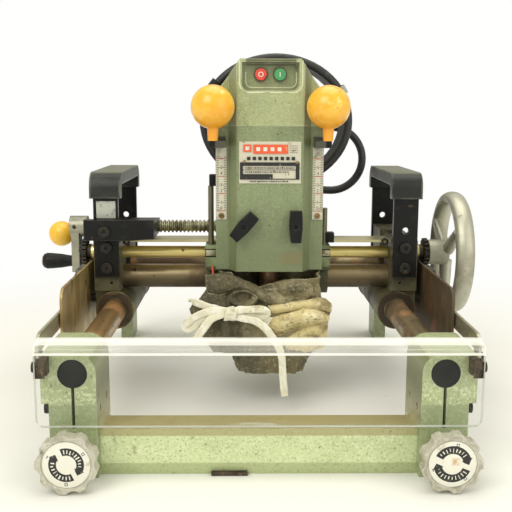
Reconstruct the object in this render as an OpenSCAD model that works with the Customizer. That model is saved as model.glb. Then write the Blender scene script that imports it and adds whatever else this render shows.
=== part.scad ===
// Two-way electric router for cutting joints in timber, as an assembly of separate pieces.
// Millimetres, +Z up, +X to the operator's right, +Y away from the operator.
// The origin is the middle of the front casting's foot.

/* [Frame] */
// Distance between the axes of the two long guide bars
bar_spacing = 350; // [340:5:380]
// Height of the long guide bars above the ground
bar_height = 103; // [100:1:115]
// Diameter of the long guide bars
bar_d = 28; // [24:1:30]
// Depth of the front casting
casting_depth = 75; // [70:1:85]
// Depth of the rear casting
rear_depth = 50; // [44:1:60]
// Clear length of the guide bars between the castings
bar_span = 425; // [420:5:460]
// Reach of a boss from its bar to the outside
boss_outer = 30; // [29:1:31]
// Reach of a boss from its bar to the inside
boss_inner = 22; // [19:1:26]
// Reach of the boss's narrower foot from its bar to the outside
foot_outer = 23; // [20:1:24]
// Height of a boss above its bar's axis
boss_rise = 20; // [18:1:22]
// Height of the front beam's top edge
beam_height = 48; // [36:1:60]
// Depth of the front beam
beam_depth = 35; // [28:1:45]
// How far the front beam's face stands behind the bosses' faces
beam_step = 4; // [2:0.5:6]
// Length of the plugs in the ends of the guide bars
plug_length = 8; // [5:1:15]
// Width of the clamping slit under each guide bar
slit_width = 3; // [2:0.5:5]

/* [Rails and racks] */
// Gap from the bosses to the side rails
rail_gap = 6; // [5.5:0.5:8]
// Thickness of a side rail
rail_t = 3; // [2:0.5:4]
// Height of a side rail
rail_h = 17; // [14:1:20]
// Width of a rack
rack_w = 6; // [5:0.5:7]
// Module of the rack and pinion teeth
tooth_module = 2; // [1.8:0.1:2.2]
// Number of teeth on a pinion
pinion_teeth = 16; // [16:2:18]

/* [Clamps and shield] */
// Outside diameter of a clamp knob
knob_d = 57; // [50:1:57]
// Thickness of a clamp knob's rim
knob_t = 14; // [10:1:16]
// Number of flutes round a clamp knob
knob_flutes = 9; // [6:1:12]
// Height of the clamp knobs' axis
knob_height = 29.5; // [29:0.5:32]
// Diameter of the clamp screws
clamp_d = 14; // [10:1:16]
// Thickness of the clear shield
shield_t = 3; // [2:0.5:4]
// Height of the shield's lower edge
shield_low = 59; // [59:0.5:70]
// Length of the shield's bent lip
lip_length = 20; // [12:1:22]

/* [Carriage] */
// Distance from the front casting's face to the carriage brackets
carriage_y = 256; // [250:1:262]
// Length of a bracket
bracket_length = 163; // [160:1:175]
// Diameter of the cross bars
cross_d = 30; // [26:1:32]
// Height of the cross bars above the long bars
cross_rise = 36; // [36:0.5:38]
// Diameter of the cross shaft
shaft_d = 15; // [12:1:15]
// Height of the cross shaft above the long bars
shaft_rise = 67; // [67:0.5:69]
// Height of the lead screw above the long bars
screw_rise = 100; // [100:0.5:103]
// Crest diameter of the lead screw
screw_d = 16; // [14:1:16]
// Pitch of the lead screw's thread
screw_pitch = 5; // [4:0.5:6]
// Width of a handle strap
strap_w = 30; // [24:1:30]
// Thickness of a handle strap
strap_t = 6; // [4:0.5:6]
// Height of a handle strap above the long bars
strap_rise = 166; // [150:1:180]
// Thickness of a side plate
plate_t = 3; // [2:0.5:3]
// Outside diameter of the handwheel
wheel_d = 155; // [130:1:160]
// Width of the handwheel's rim
rim_w = 23; // [16:1:26]
// Radius of the crank
crank_reach = 45; // [40:1:46]

/* [Head] */
// Place of the head across the machine at rest
head_x = 14.5; // [10:0.5:20]
// Width of the head
head_w = 124; // [122:1:126]
// Width of the head's flat front
front_w = 76; // [74:1:84]
// Distance from the front casting's face to the head's face
head_y = 192; // [190:1:194]
// Depth of the head
head_depth = 80; // [79:1:81]
// Height of the head's underside above the long bars
head_low = 61; // [60:1:64]
// Height of the seam under the head's cover
seam_rise = 227; // [224:1:235]
// Height of the head's top
top_rise = 301; // [296:1:306]
// Diameter of the guide columns
column_d = 18; // [14:1:18]
// Half the distance between the guide columns
column_x = 50; // [48:0.5:51]
// Travel of the plunge
plunge = 38; // [20:1:38]
// Diameter of a ball grip
ball_d = 48.5; // [40:0.5:49]
// Bore of the motor's cavity
motor_d = 70; // [66:1:70]
// Diameter of the motor shaft
spindle_d = 12; // [10:1:12]
// Diameter of the cutter
cutter_d = 24; // [12:1:30]
// Diameter of a push button
button_d = 13; // [10:0.5:13]
// Travel of a push button
button_travel = 2.5; // [1:0.5:3]

/* [Cord] */
// Diameter of the mains cord
cord_d = 11; // [11:0.5:11]
// Turns in the cord's coil
coil_turns = 6; // [5:1:6]

/* [Hidden] */
$fn = 48;
// Clearance of a fit inside one body, and of a running fit
fit = 0.05;
run = 0.06;
// Gap left between pieces that pass each other
gap = 0.3;

bar_x = bar_spacing / 2;
bar_r = bar_d / 2;
rear_y = casting_depth + bar_span;
frame_end = rear_y + rear_depth;
boss_top = bar_height + boss_rise;
outer_x = bar_x + boss_outer;
rail_x = outer_x + rail_gap;
rail_low = bar_height + 14;
rack_x = rail_x + rail_t;
rack_end_x = rack_x + rack_w;

// Slit screws and rail screws
slit_low = bar_height - bar_r - 40;
slit_screw_z = slit_low + 15;
slit_screw_y = [20, 55];
bolt_r = 4;
head_r = 6.5;
rail_screws = [[28, bar_height + 8], [rear_y + 25, bar_height + 4]];

// Carriage places
bush_r = bar_r + 3;
slider_r = 23;
wall_in = bar_x - 6;
wall_out = bar_x + 24;
wall_top = bar_height + 88;
bracket_end = carriage_y + bracket_length;
cross_r = cross_d / 2;
cross_y = carriage_y + 44;
rear_cross_y = cross_y + 75;
cross_z = bar_height + cross_rise;
shaft_r = shaft_d / 2;
shaft_z = bar_height + shaft_rise;
screw_z = bar_height + screw_rise;
screw_r = screw_d / 2;
journal_r = screw_r - 1.5;
strip_low = bar_height + 83;
strip_t = 3;
strap_in = bar_x - 8;
strap_out = strap_in + strap_w;
strap_y = carriage_y - strap_t;
strap_top = bar_height + strap_rise;
leg_bolts = [bar_height + 55, bar_height + 80];
block_bolt_z = bar_height + 101;
block_low = bar_height + 90;
block_high = bar_height + 115;
block_t = 12;
block_end_x = 123;
plate_x = outer_x + 1.5;
plate_front = 110;
plate_top = bar_height + 57;
plate_low = bar_height - 25;
plate_bolts = [[carriage_y + 18, bar_height + 12], [carriage_y + 82, bar_height + 40],
    [bracket_end - 12, bar_height + 40]];

// Teeth
pitch_r = tooth_module * pinion_teeth / 2;
tooth_pitch = PI * tooth_module;
backlash = 0.3;
rack_pitch_z = shaft_z - pitch_r;
pinion_x = rack_x + 0.2;
pinion_w = rack_w - 0.4;

// Lever that locks the carriage
lever_y = bracket_end - 27;
lever_z = bar_height + 66;
lever_stem = [-20, 14];
lever_ball_r = 17;
lever_ball_x = bar_x + 88;

// Crank
crank_x = rack_end_x + 1;
crank_w = 14;
pin_r = 4;
handle_length = 35;

// Handwheel
hub_x = crank_x;
hub_end = hub_x + 25;
rim_x = hub_x + 19;

// Saddle
bush_wall = 2;
cross_bush_r = cross_r + bush_wall;
sleeve_r = cross_bush_r + 5;
sleeve_half = 64;
ear_half = 77;
base_low = bar_height + 4;
base_high = bar_height + 19;
column_y = head_y + 65;
column_top = bar_height + 140;
column_r = column_d / 2;
nut_x = [-40, -8];
nut_r = screw_r + 4;
ear_top = bar_height + 81;
rod_x = 70;
rod_y = carriage_y + 12;
rod_r = 3.5;
rod_tops = [bar_height + 154, bar_height + 127];

// Head
half_w = head_w / 2;
half_front = front_w / 2;
shoulder_y = head_y + 15;
head_back = head_y + head_depth;
head_bottom = bar_height + head_low;
seam_z = bar_height + seam_rise;
top_z = bar_height + top_rise;
motor_y = head_y + 39;
motor_r = motor_d / 2;
cavity_low = head_bottom + 24;
spindle_r = spindle_d / 2;
lower_bearing_r = 17.5;
upper_bearing_r = 13;
bridge_low = seam_z - 23;
bridge_high = seam_z - 9;
lock_x = 29.5;
lock_z = bar_height + 114.5;
lock_shaft_r = 4;
pocket_y = head_y + 12;
pocket_low = top_z - 35;
pocket_high = top_z - 4;
button_x = 10.7;
button_z = top_z - 17;
button_r = button_d / 2;
grip_x = 64;
grip_y = head_y - 11;
grip_z = bar_height + 248;
grip_r = ball_d / 2;
stem_low = bar_height + 211;
gland = [-24, top_z - 16];
gland_end = head_back + 22;

// Shield
shield_y = -22;
shield_half = outer_x;
bend_z = bar_height + 32;
pivot_y = -9;
pivot_z = bar_height + 9.5;

// Cord: the coil is an oval helix that runs backwards, round an axis along Y
cord_r = cord_d / 2;
coil_c = [11.5, bar_height + 232];
coil_a = 93;
coil_b = 80;
coil_front = 328;
coil_step = 12;
coil_rings = 24;
coil_sides = 6;
coil_rear = coil_front + coil_step * coil_turns;
// Guide points of the two curves before the coil and the two after it
lead_guides = [[-24, 294, 285], [-24, 329.5, 285], [-47.8, 348.4, 258.3], [-45, 341.7, 224.2],
    [-45, 341.6, 223.5], [-40.3, 326.9, 152], [11.5, 328, 152]];
tail_guides = [[11.5, 400, 152], [24.9, 400.3, 152], [39.8, 403.8, 148.9],
    [52.6, 414.8, 143.9], [58.6, 419.9, 141.6], [72.6, 431.7, 134.5], [95, 434, 134.5]];
loop_c = [95, 179];
loop_r = 44.5;
loop_y = [434, 456];
plug_length_z = 42;

// Helpers: every y below is measured from the front casting's face
module place() translate([0, -casting_depth / 2, 0]) children();
module at_head() place() translate([head_x, 0, 0]) children();
module both() {
    children();
    mirror([1, 0, 0]) children();
}
module slab(x, y, z)
    translate([x[0], y[0], z[0]]) cube([x[1] - x[0], y[1] - y[0], z[1] - z[0]]);
module along_x(x0, x1) translate([x0, 0, 0]) rotate([90, 0, 90]) linear_extrude(x1 - x0) children();
module along_y(y0, y1) translate([0, y1, 0]) rotate([90, 0, 0]) linear_extrude(y1 - y0) children();
module x_cyl(r, x0, x1, y, z, sides = $fn)
    translate([x0, y, z]) rotate([0, 90, 0]) cylinder(r = r, h = x1 - x0, $fn = sides);
module y_cyl(r, y0, y1, x, z, sides = $fn)
    translate([x, y1, z]) rotate([90, 0, 0]) cylinder(r = r, h = y1 - y0, $fn = sides);
module z_cyl(r, z0, z1, x, y, sides = $fn)
    translate([x, y, z0]) cylinder(r = r, h = z1 - z0, $fn = sides);
function arc(c, r, a0, a1, n = 8) =
    [for (i = [0:n]) let (a = a0 + (a1 - a0) * i / n) [c[0] + r * cos(a), c[1] + r * sin(a)]];

// Socket head screw along X with its head's inner face at x0, head towards +X
module screw_x(x0, y, z, length) difference() {
    union() {
        x_cyl(head_r, x0, x0 + 8, y, z);
        x_cyl(bolt_r, x0 - length, x0 + 1, y, z);
    }
    x_cyl(3, x0 + 4, x0 + 9, y, z, 6);
}
// Button head bolt along Y with its head's inner face at y0, head towards -Y
module bolt_y(x, y0, z, length) difference() {
    union() {
        y_cyl(head_r, y0 - 5, y0, x, z);
        y_cyl(bolt_r, y0 - 1, y0 + length, x, z);
    }
    y_cyl(3, y0 - 6, y0 - 2, x, z, 6);
}

// Front and rear castings
function boss_outline() = concat(
    [[bar_x - boss_inner, 0], [bar_x + foot_outer, 0], [bar_x + foot_outer, slit_low + 25],
        [outer_x, slit_low + 25]],
    arc([outer_x - 5, boss_top - 5], 5, 0, 90),
    arc([bar_x - boss_inner + 20, boss_top - 20], 20, 90, 180));
module front_casting() color([0.55, 0.64, 0.48]) place() difference() {
    union() {
        both() along_y(0, casting_depth) polygon(boss_outline());
        along_x(boss_inner - bar_x, bar_x - boss_inner)
            polygon([[beam_step + 5, 0], [beam_step + beam_depth, 0],
                [beam_step + beam_depth, beam_height], [beam_step, beam_height], [beam_step, 14]]);
        both() along_y(beam_step, beam_step + beam_depth) difference() {
            translate([bar_x - boss_inner - 8, beam_height]) square(8.5);
            translate([bar_x - boss_inner - 8, beam_height + 8]) circle(8);
        }
    }
    both() {
        y_cyl(bar_r + fit, -1, casting_depth + 1, bar_x, bar_height);
        y_cyl(clamp_d / 2 + run, -1, casting_depth + 1, bar_x, knob_height);
        slab([bar_x - slit_width / 2, bar_x + slit_width / 2], [-1, casting_depth + 1],
            [slit_low, bar_height]);
        for (y = slit_screw_y)
            x_cyl(bolt_r + fit, bar_x - boss_inner - 1, bar_x + boss_outer, y, slit_screw_z);
    }
}
function rear_outline() = concat(
    [[bar_x - 20, bar_height - 20], [bar_x + 12, bar_height - 20], [bar_x + 12, 0], [outer_x, 0]],
    arc([outer_x - 8, boss_top - 8], 8, 0, 90), arc([bar_x - 12, boss_top - 8], 8, 90, 180));
module rear_casting() color([0.55, 0.64, 0.48]) place() difference() {
    union() {
        both() along_y(rear_y, frame_end) polygon(rear_outline());
        slab([-bar_x + 21, bar_x - 21], [rear_y + 5, frame_end - 5], [bar_height - 12, bar_height + 16]);
        both() slab([bar_x - 22, bar_x - 19], [rear_y + 5, frame_end - 5],
            [bar_height - 12, bar_height + 12]);
    }
    both() y_cyl(bar_r + fit, rear_y - 1, frame_end + 1, bar_x, bar_height);
}
module guide_bars() color([0.55, 0.42, 0.3]) place() both()
    y_cyl(bar_r, plug_length, frame_end - plug_length, bar_x, bar_height);
module bar_end_plugs() color([0.15, 0.15, 0.16]) place() both() {
    y_cyl(bar_r, 0.5, plug_length, bar_x, bar_height);
    y_cyl(bar_r, frame_end - plug_length, frame_end - 0.5, bar_x, bar_height);
}
module frame_screws() color([0.4, 0.38, 0.36]) place() both() {
    for (y = slit_screw_y)
        screw_x(bar_x + foot_outer, y, slit_screw_z, foot_outer + boss_inner - 2);
    for (s = rail_screws) {
        x_cyl(6, outer_x, rail_x, s[0], s[1]);
        x_cyl(3, rail_x - 1, rack_x + 1, s[0], s[1]);
        x_cyl(5, rack_x, rack_x + 3, s[0], s[1]);
    }
}

// Side rails with the racks on their outer faces
function rail_outline() = concat(
    [[22, bar_height - 2], [34, bar_height - 2], [38, rail_low], [rear_y + 8, rail_low],
        [rear_y + 12, bar_height - 6], [frame_end - 8, bar_height - 6],
        [frame_end - 8, rail_low + rail_h]],
    arc([36, rail_low + rail_h - 14], 14, 90, 180));
module side_rails() color([0.72, 0.72, 0.68]) place() both() difference() {
    along_x(rail_x, rack_x) polygon(rail_outline());
    for (s = rail_screws) x_cyl(3 + fit, rail_x - 1, rack_x + 1, s[0], s[1]);
}
rack_first = -9;
rack_last = 14;
function rack_tooth(k) = let (y = cross_y + (k + 0.5) * tooth_pitch,
    root = tooth_pitch / 4 - backlash / 2 + 1.25 * tooth_module * tan(20),
    tip = tooth_pitch / 4 - backlash / 2 - tooth_module * tan(20))
    [[y - root, rack_pitch_z - 1.25 * tooth_module], [y - tip, rack_pitch_z + tooth_module],
        [y + tip, rack_pitch_z + tooth_module], [y + root, rack_pitch_z - 1.25 * tooth_module]];
module gear_racks() color([0.35, 0.34, 0.33]) place() both() along_x(rack_x, rack_end_x)
    polygon(concat(
        [[cross_y + (rack_last + 1.5) * tooth_pitch, rail_low + 6],
            [cross_y + (rack_first - 0.5) * tooth_pitch, rail_low + 6],
            [cross_y + (rack_first - 0.5) * tooth_pitch, rack_pitch_z - 1.25 * tooth_module]],
        [for (k = [rack_first:rack_last]) each rack_tooth(k)],
        [[cross_y + (rack_last + 1.5) * tooth_pitch, rack_pitch_z - 1.25 * tooth_module]]));

// Clamp knobs turn on screws that they push backwards with a pad
module clamp_knob() difference() {
    union() {
        y_cyl(knob_d / 2, -24 - knob_t, -24, bar_x, knob_height);
        y_cyl(13, -25, -gap, bar_x, knob_height);
    }
    for (i = [0:knob_flutes - 1]) let (a = (i + 0.5) * 360 / knob_flutes)
        y_cyl(9, -40 - knob_t, -20, bar_x + (knob_d / 2 + 6) * cos(a),
            knob_height + (knob_d / 2 + 6) * sin(a));
    y_cyl(23, -25 - knob_t, -23 - knob_t, bar_x, knob_height);
    y_cyl(clamp_d / 2 + run, -32, 1, bar_x, knob_height);
}
module clamp_screw() union() {
    y_cyl(clamp_d / 2, -30, casting_depth + 2, bar_x, knob_height);
    y_cyl(17, casting_depth + 0.5, casting_depth + 9, bar_x, knob_height);
}
module right_clamp_knob() color([0.72, 0.72, 0.7]) place() clamp_knob();
module left_clamp_knob() color([0.72, 0.72, 0.7]) place() mirror([1, 0, 0]) clamp_knob();
module right_clamp_screw() color([0.45, 0.44, 0.43]) place() clamp_screw();
module left_clamp_screw() color([0.45, 0.44, 0.43]) place() mirror([1, 0, 0]) clamp_screw();

// Clear shield on two ears that turn on screws in the brackets
module shield_brackets() color([0.3, 0.29, 0.27]) place() both() difference() {
    union() {
        slab([outer_x - 9, outer_x - 2], [pivot_y, 0], [pivot_z - 8, pivot_z + 8]);
        x_cyl(8, outer_x - 9, outer_x - 2, pivot_y, pivot_z);
    }
    x_cyl(2.5 + run, outer_x - 6, outer_x + 1, pivot_y, pivot_z);
}
function shield_profile() = let (lip_y = shield_y + shield_t, end = lip_length - shield_t)
    [[shield_y, shield_low], [lip_y, shield_low], [lip_y, bend_z - shield_t],
        [lip_y + end, bend_z - shield_t + 4], [lip_y + end, bend_z + 4], [shield_y + 2, bend_z],
        [shield_y, bend_z - 2]];
module front_shield() color([0.75, 0.85, 0.8, 0.5]) place() difference() {
    along_x(-shield_half, shield_half) polygon(shield_profile());
    both() difference() {
        slab([shield_half - 8, shield_half + 1], [shield_y - 1, shield_y + shield_t + 1],
            [shield_low - 1, shield_low + 8]);
        y_cyl(8, shield_y - 2, shield_y + shield_t + 2, shield_half - 8, shield_low + 8);
    }
}
module shield_ears() color([0.4, 0.3, 0.22]) place() both() union() {
    slab([outer_x - 9, outer_x + 1], [shield_y + shield_t, shield_y + shield_t + 1.5],
        [pivot_z - 8, pivot_z + 8]);
    slab([outer_x - 1.6, outer_x + 1], [shield_y + shield_t, pivot_y], [pivot_z - 8, pivot_z + 8]);
    x_cyl(8, outer_x - 1.6, outer_x + 1, pivot_y, pivot_z);
    x_cyl(2.5, outer_x - 5.5, outer_x + 1, pivot_y, pivot_z);
    x_cyl(5, outer_x + 1, outer_x + 4.5, pivot_y, pivot_z);
}

// Carriage: two brackets on the long bars carry everything above
module bracket() difference() {
    union() {
        y_cyl(slider_r, carriage_y + 6, bracket_end + 13, bar_x, bar_height);
        slab([wall_in, wall_out], [carriage_y, carriage_y + 7], [bar_height + 25, wall_top]);
        slab([wall_in, wall_out], [carriage_y + 6, carriage_y + 64], [bar_height, wall_top]);
        slab([bar_x + 8, wall_out], [carriage_y + 63, bracket_end - 61], [bar_height, wall_top]);
        slab([wall_in, wall_out], [bracket_end - 62, bracket_end], [bar_height, wall_top]);
    }
    y_cyl(bush_r + fit, carriage_y, bracket_end + 14, bar_x, bar_height);
    for (y = [cross_y, rear_cross_y]) x_cyl(cross_r + fit, wall_in - 1, wall_out + 1, y, cross_z);
    x_cyl(shaft_r + run, wall_in - 1, wall_out + 1, cross_y, shaft_z);
    for (z = leg_bolts) {
        y_cyl(bolt_r + fit, carriage_y - 1, carriage_y + 18.5, bar_x + 7, z);
        y_cyl(bolt_r + fit, bracket_end - 18.5, bracket_end + 1, bar_x + 7, z);
    }
    for (b = plate_bolts) x_cyl(3 + fit, wall_out - 10.5, wall_out + 1, b[0], b[1]);
    y_cyl(1.6, carriage_y - 1, carriage_y + 6, bar_x + 3, bar_height + 35);
}
module right_bracket() color([0.5, 0.5, 0.36]) place() bracket();
module left_bracket() color([0.5, 0.5, 0.36]) place() mirror([1, 0, 0]) bracket();
module slider_bushes() color([0.55, 0.45, 0.33]) place() both() difference() {
    union() {
        y_cyl(bush_r, carriage_y + 2, carriage_y + 34, bar_x, bar_height);
        y_cyl(slider_r + 1, carriage_y + 2, carriage_y + 6, bar_x, bar_height);
        y_cyl(bush_r, bracket_end - 15, bracket_end + 17, bar_x, bar_height);
        y_cyl(slider_r + 1, bracket_end + 13, bracket_end + 17, bar_x, bar_height);
    }
    y_cyl(bar_r + run, carriage_y, bracket_end + 18, bar_x, bar_height);
}
module cross_bars() color([0.5, 0.42, 0.36]) place() for (y = [cross_y, rear_cross_y])
    x_cyl(cross_r, -wall_out + 1, wall_out - 1, y, cross_z);
module cover_strip() color([0.7, 0.66, 0.5]) place()
    slab([-wall_in, wall_in], [carriage_y + 20, cross_y + 12], [strip_low, strip_low + strip_t]);

// Handles: steel straps with a moulded grip over their tops
function u_strap(y0, y1, front, rear, top, t, r) = concat([[y0, front]],
    arc([y0 + r, top - r], r, 180, 90), arc([y1 - r, top - r], r, 90, 0),
    [[y1, rear], [y1 - t, rear]], arc([y1 - r, top - r], r - t, 0, 90),
    arc([y0 + r, top - r], r - t, 90, 180), [[y0 + t, front]]);
module carry_handles() color([0.16, 0.16, 0.17]) place() both() difference() {
    along_x(strap_in, strap_out) polygon(u_strap(strap_y, bracket_end + strap_t,
        bar_height + 43, bar_height + 50, strap_top, strap_t, 14));
    for (z = concat(leg_bolts, [block_bolt_z]))
        y_cyl(bolt_r + fit, strap_y - 1, bracket_end + strap_t + 1, bar_x + 7, z);
}
module handle_grips() color([0.12, 0.12, 0.13]) place() both() difference() {
    along_x(strap_in - 3.5, strap_out + 3.5) polygon(u_strap(strap_y - 5,
        bracket_end + strap_t + 5, bar_height + 140, bar_height + 140, strap_top + 5,
        strap_t + 9, 19));
    along_x(strap_in - fit, strap_out + fit) polygon(u_strap(strap_y - fit,
        bracket_end + strap_t + fit, bar_height + 139, bar_height + 139, strap_top + fit,
        strap_t + 2 * fit, 14 + fit));
}
module carriage_screws() color([0.25, 0.25, 0.25]) place() {
    both() {
        for (z = leg_bolts) {
            bolt_y(bar_x + 7, strap_y, z, strap_t + 17.5);
            translate([0, 2 * bracket_end, 0]) mirror([0, 1, 0])
                bolt_y(bar_x + 7, bracket_end - strap_t, z, strap_t + 17.5);
        }
        for (b = plate_bolts) {
            x_cyl(5, wall_out, plate_x, b[0], b[1]);
            x_cyl(3, wall_out - 10, plate_x + plate_t, b[0], b[1]);
        }
    }
    mirror([1, 0, 0]) {
        bolt_y(bar_x + 7, strap_y - block_t, block_bolt_z, block_t + strap_t + 7);
        difference() {
            y_cyl(7, carriage_y, carriage_y + 6, bar_x + 7, block_bolt_z, 6);
            y_cyl(bolt_r - 0.5, carriage_y - 1, carriage_y + 7, bar_x + 7, block_bolt_z);
        }
    }
}
module side_plates() color([0.5, 0.36, 0.24]) place() both() difference() {
    along_x(plate_x, plate_x + plate_t) polygon(concat(
        [[plate_front, plate_low], [bracket_end + 10, plate_low], [bracket_end + 10, plate_top]],
        arc([plate_front + 14, plate_top - 14], 14, 90, 180)));
    for (b = plate_bolts) x_cyl(3 + fit, plate_x - 1, plate_x + plate_t + 1, b[0], b[1]);
}
module screw_bearing() color([0.2, 0.2, 0.21]) place() mirror([1, 0, 0]) difference() {
    union() {
        slab([strap_in - 2, strap_out + 10], [strap_y - block_t, strap_y], [block_low, block_high]);
        along_y(strap_y - block_t, strap_y) polygon([[strap_in - 0.5, block_low],
            [strap_in - 0.5, block_high], [block_end_x, block_high],
            [block_end_x, screw_z - 8], [strap_in - 17, block_low]]);
        along_y(strap_y - 1, cross_y + 12) polygon([[strap_in - 0.5, block_low],
            [strap_in - 0.5, screw_z + 9.5], [block_end_x, screw_z + 9.5],
            [block_end_x, screw_z - 8], [strap_in - 17, block_low]]);
        slab([strap_in - 1, wall_out], [cross_y - 14, cross_y + 14], [wall_top, screw_z + 9.5]);
    }
    x_cyl(journal_r + run, block_end_x - 1, wall_out + 1, cross_y, screw_z);
    y_cyl(bolt_r + fit, strap_y - block_t - 1, strap_y + 1, bar_x + 7, block_bolt_z);
}

// Small lever with a ball that locks the carriage
module lock_lever() color([0.9, 0.6, 0.2]) place() mirror([1, 0, 0]) union() {
    x_cyl(7.5, wall_out + gap, plate_x + plate_t + 4, lever_y, lever_z);
    translate([plate_x + plate_t, lever_y, lever_z])
        rotate([atan2(lever_stem[1], lever_stem[0]), 0, 0])
        translate([0, 0, -4]) cube([4, norm(lever_stem), 8]);
    x_cyl(4.5, plate_x + plate_t, lever_ball_x, lever_y + lever_stem[0], lever_z + lever_stem[1]);
    translate([lever_ball_x, lever_y + lever_stem[0], lever_z + lever_stem[1]]) sphere(lever_ball_r);
}

// Cross shaft with a pinion on each end
function roll(r) = let (a = acos(min(1, pitch_r * cos(20) / r))) tan(a) * 180 / PI - a;
function half_tooth(r) = 90 / pinion_teeth - backlash / 2 / pitch_r * 180 / PI
    + roll(pitch_r) - roll(r);
tooth_radii = [for (i = [0:5]) pitch_r * cos(20) + 0.01
    + (pitch_r + tooth_module - pitch_r * cos(20) - 0.01) * i / 5];
root_r = pitch_r - 1.25 * tooth_module;
function polar(r, a) = [r * cos(a), r * sin(a)];
function pinion_tooth(a) = concat([polar(root_r, a - half_tooth(tooth_radii[0]))],
    [for (r = tooth_radii) polar(r, a - half_tooth(r))],
    [for (i = [5:-1:0]) polar(tooth_radii[i], a + half_tooth(tooth_radii[i]))],
    [polar(root_r, a + half_tooth(tooth_radii[0]))]);
module feed_shaft() color([0.72, 0.6, 0.32]) place() union() {
    x_cyl(shaft_r, -rack_end_x, hub_end, cross_y, shaft_z);
    both() {
        along_x(pinion_x, pinion_x + pinion_w) translate([cross_y, shaft_z])
            polygon([for (i = [0:pinion_teeth - 1]) each pinion_tooth(i * 360 / pinion_teeth)]);
        x_cyl(10, wall_out + gap, pinion_x + 0.5, cross_y, shaft_z);
    }
}
module handwheel() color([0.75, 0.75, 0.74]) place() translate([0, cross_y, shaft_z])
    rotate([0, 90, 0]) difference() {
        union() {
            translate([0, 0, rim_x]) rotate_extrude() translate([wheel_d / 2 - 8, rim_w / 2])
                polygon([for (i = [0:23]) [8 * cos(i * 15), rim_w / 2 * sin(i * 15)]]);
            translate([0, 0, hub_x]) cylinder(r = 16, h = hub_end - hub_x);
            for (i = [0:2]) rotate([0, 0, i * 120]) translate([0, 0, rim_x - 2])
                rotate([0, 90, 0]) translate([-7, 0, 10])
                cylinder(r1 = 8, r2 = 6, h = wheel_d / 2 - 20);
        }
        translate([0, 0, hub_x - 1]) cylinder(r = shaft_r + fit, h = hub_end - hub_x + 2);
    }

// Lead screw, its crank and the crank's handle
thread_x = [-block_end_x + 0.5, 78];
thread_count = floor((thread_x[1] - thread_x[0]) / screw_pitch);
module lead_screw() color([0.6, 0.6, 0.58]) place() translate([0, cross_y, screw_z]) union() {
    rotate([0, 90, 0]) rotate_extrude() polygon(concat([[0, thread_x[0]]],
        [for (i = [0:thread_count - 1]) let (x = thread_x[0] + i * screw_pitch)
            each [[screw_r - 2, x], [screw_r, x + screw_pitch * 0.25],
                [screw_r, x + screw_pitch * 0.5], [screw_r - 2, x + screw_pitch * 0.75]]],
        [[screw_r - 2, thread_x[1]], [0, thread_x[1]]]));
    x_cyl(journal_r, -crank_x - crank_w + 2, thread_x[0] + 1, 0, 0);
}
module crank_arm() color([0.7, 0.7, 0.68]) place() mirror([1, 0, 0]) difference() {
    union() {
        x_cyl(13, pinion_x - 1, crank_x + crank_w, cross_y, screw_z);
        x_cyl(11, crank_x + 2, crank_x + crank_w - 2, cross_y, screw_z - crank_reach);
        slab([crank_x + 2, crank_x + crank_w - 2], [cross_y - 10.5, cross_y + 10.5],
            [screw_z - crank_reach - 13, screw_z]);
        x_cyl(pin_r, crank_x + crank_w - 3, crank_x + crank_w + handle_length + 1, cross_y,
            screw_z - crank_reach);
        x_cyl(6, crank_x + crank_w + handle_length + 0.6,
            crank_x + crank_w + handle_length + 2.2, cross_y, screw_z - crank_reach);
    }
    x_cyl(journal_r + fit, pinion_x - 2, crank_x + crank_w - 2 + fit, cross_y, screw_z);
    y_cyl(2.5, cross_y - 14, cross_y - 7, crank_x + crank_w / 2, screw_z);
}
module crank_handle() color([0.14, 0.14, 0.15]) place() mirror([1, 0, 0])
    translate([crank_x + crank_w - 2 + gap, cross_y, screw_z - crank_reach]) rotate([0, 90, 0])
    rotate_extrude() polygon([[pin_r + run, 0], [6.8, 0], [7.2, 5], [8.8, 14],
        [10, handle_length - 8], [10.2, handle_length - 2], [8.5, handle_length + 2],
        [pin_r + run, handle_length + 2]]);

// Saddle on the cross bars, with the columns that the head plunges on
module saddle() color([0.55, 0.64, 0.48]) at_head() difference() {
    union() {
        slab([-sleeve_half, sleeve_half], [carriage_y + 20, rear_cross_y + 17],
            [base_low, base_high]);
        both() {
            z_cyl(column_r + 4, base_low, base_high, column_x, column_y);
            slab([column_x - 13, column_x + 13], [column_y, carriage_y + 21],
                [base_low, base_high]);
            slab([sleeve_half - 0.5, ear_half], [rod_y - 6, cross_y + 22],
                [bar_height + 50, ear_top]);
        }
        x_cyl(sleeve_r, -ear_half, ear_half, cross_y, cross_z);
        x_cyl(sleeve_r, -sleeve_half, sleeve_half, rear_cross_y, cross_z);
        slab(nut_x, [cross_y + 13.5, cross_y + 35], [base_high - 2, screw_z + 4]);
        slab(nut_x, [cross_y, cross_y + 14], [screw_z - 12, screw_z + 4]);
        x_cyl(nut_r + 1.5, nut_x[0], nut_x[1], cross_y, screw_z);
    }
    both() {
        z_cyl(column_r + fit, base_low - 1, base_high + 1, column_x, column_y);
        z_cyl(rod_r + fit, ear_top - 12, ear_top + 1, rod_x, rod_y);
    }
    x_cyl(cross_bush_r + fit, -ear_half - 1, ear_half + 1, cross_y, cross_z);
    x_cyl(cross_bush_r + fit, -sleeve_half - 1, sleeve_half + 1, rear_cross_y, cross_z);
    x_cyl(shaft_r + 1, -ear_half - 1, ear_half + 1, cross_y, shaft_z);
    x_cyl(nut_r + fit, nut_x[0] - 1, nut_x[1] + 1, cross_y, screw_z);
}
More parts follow.
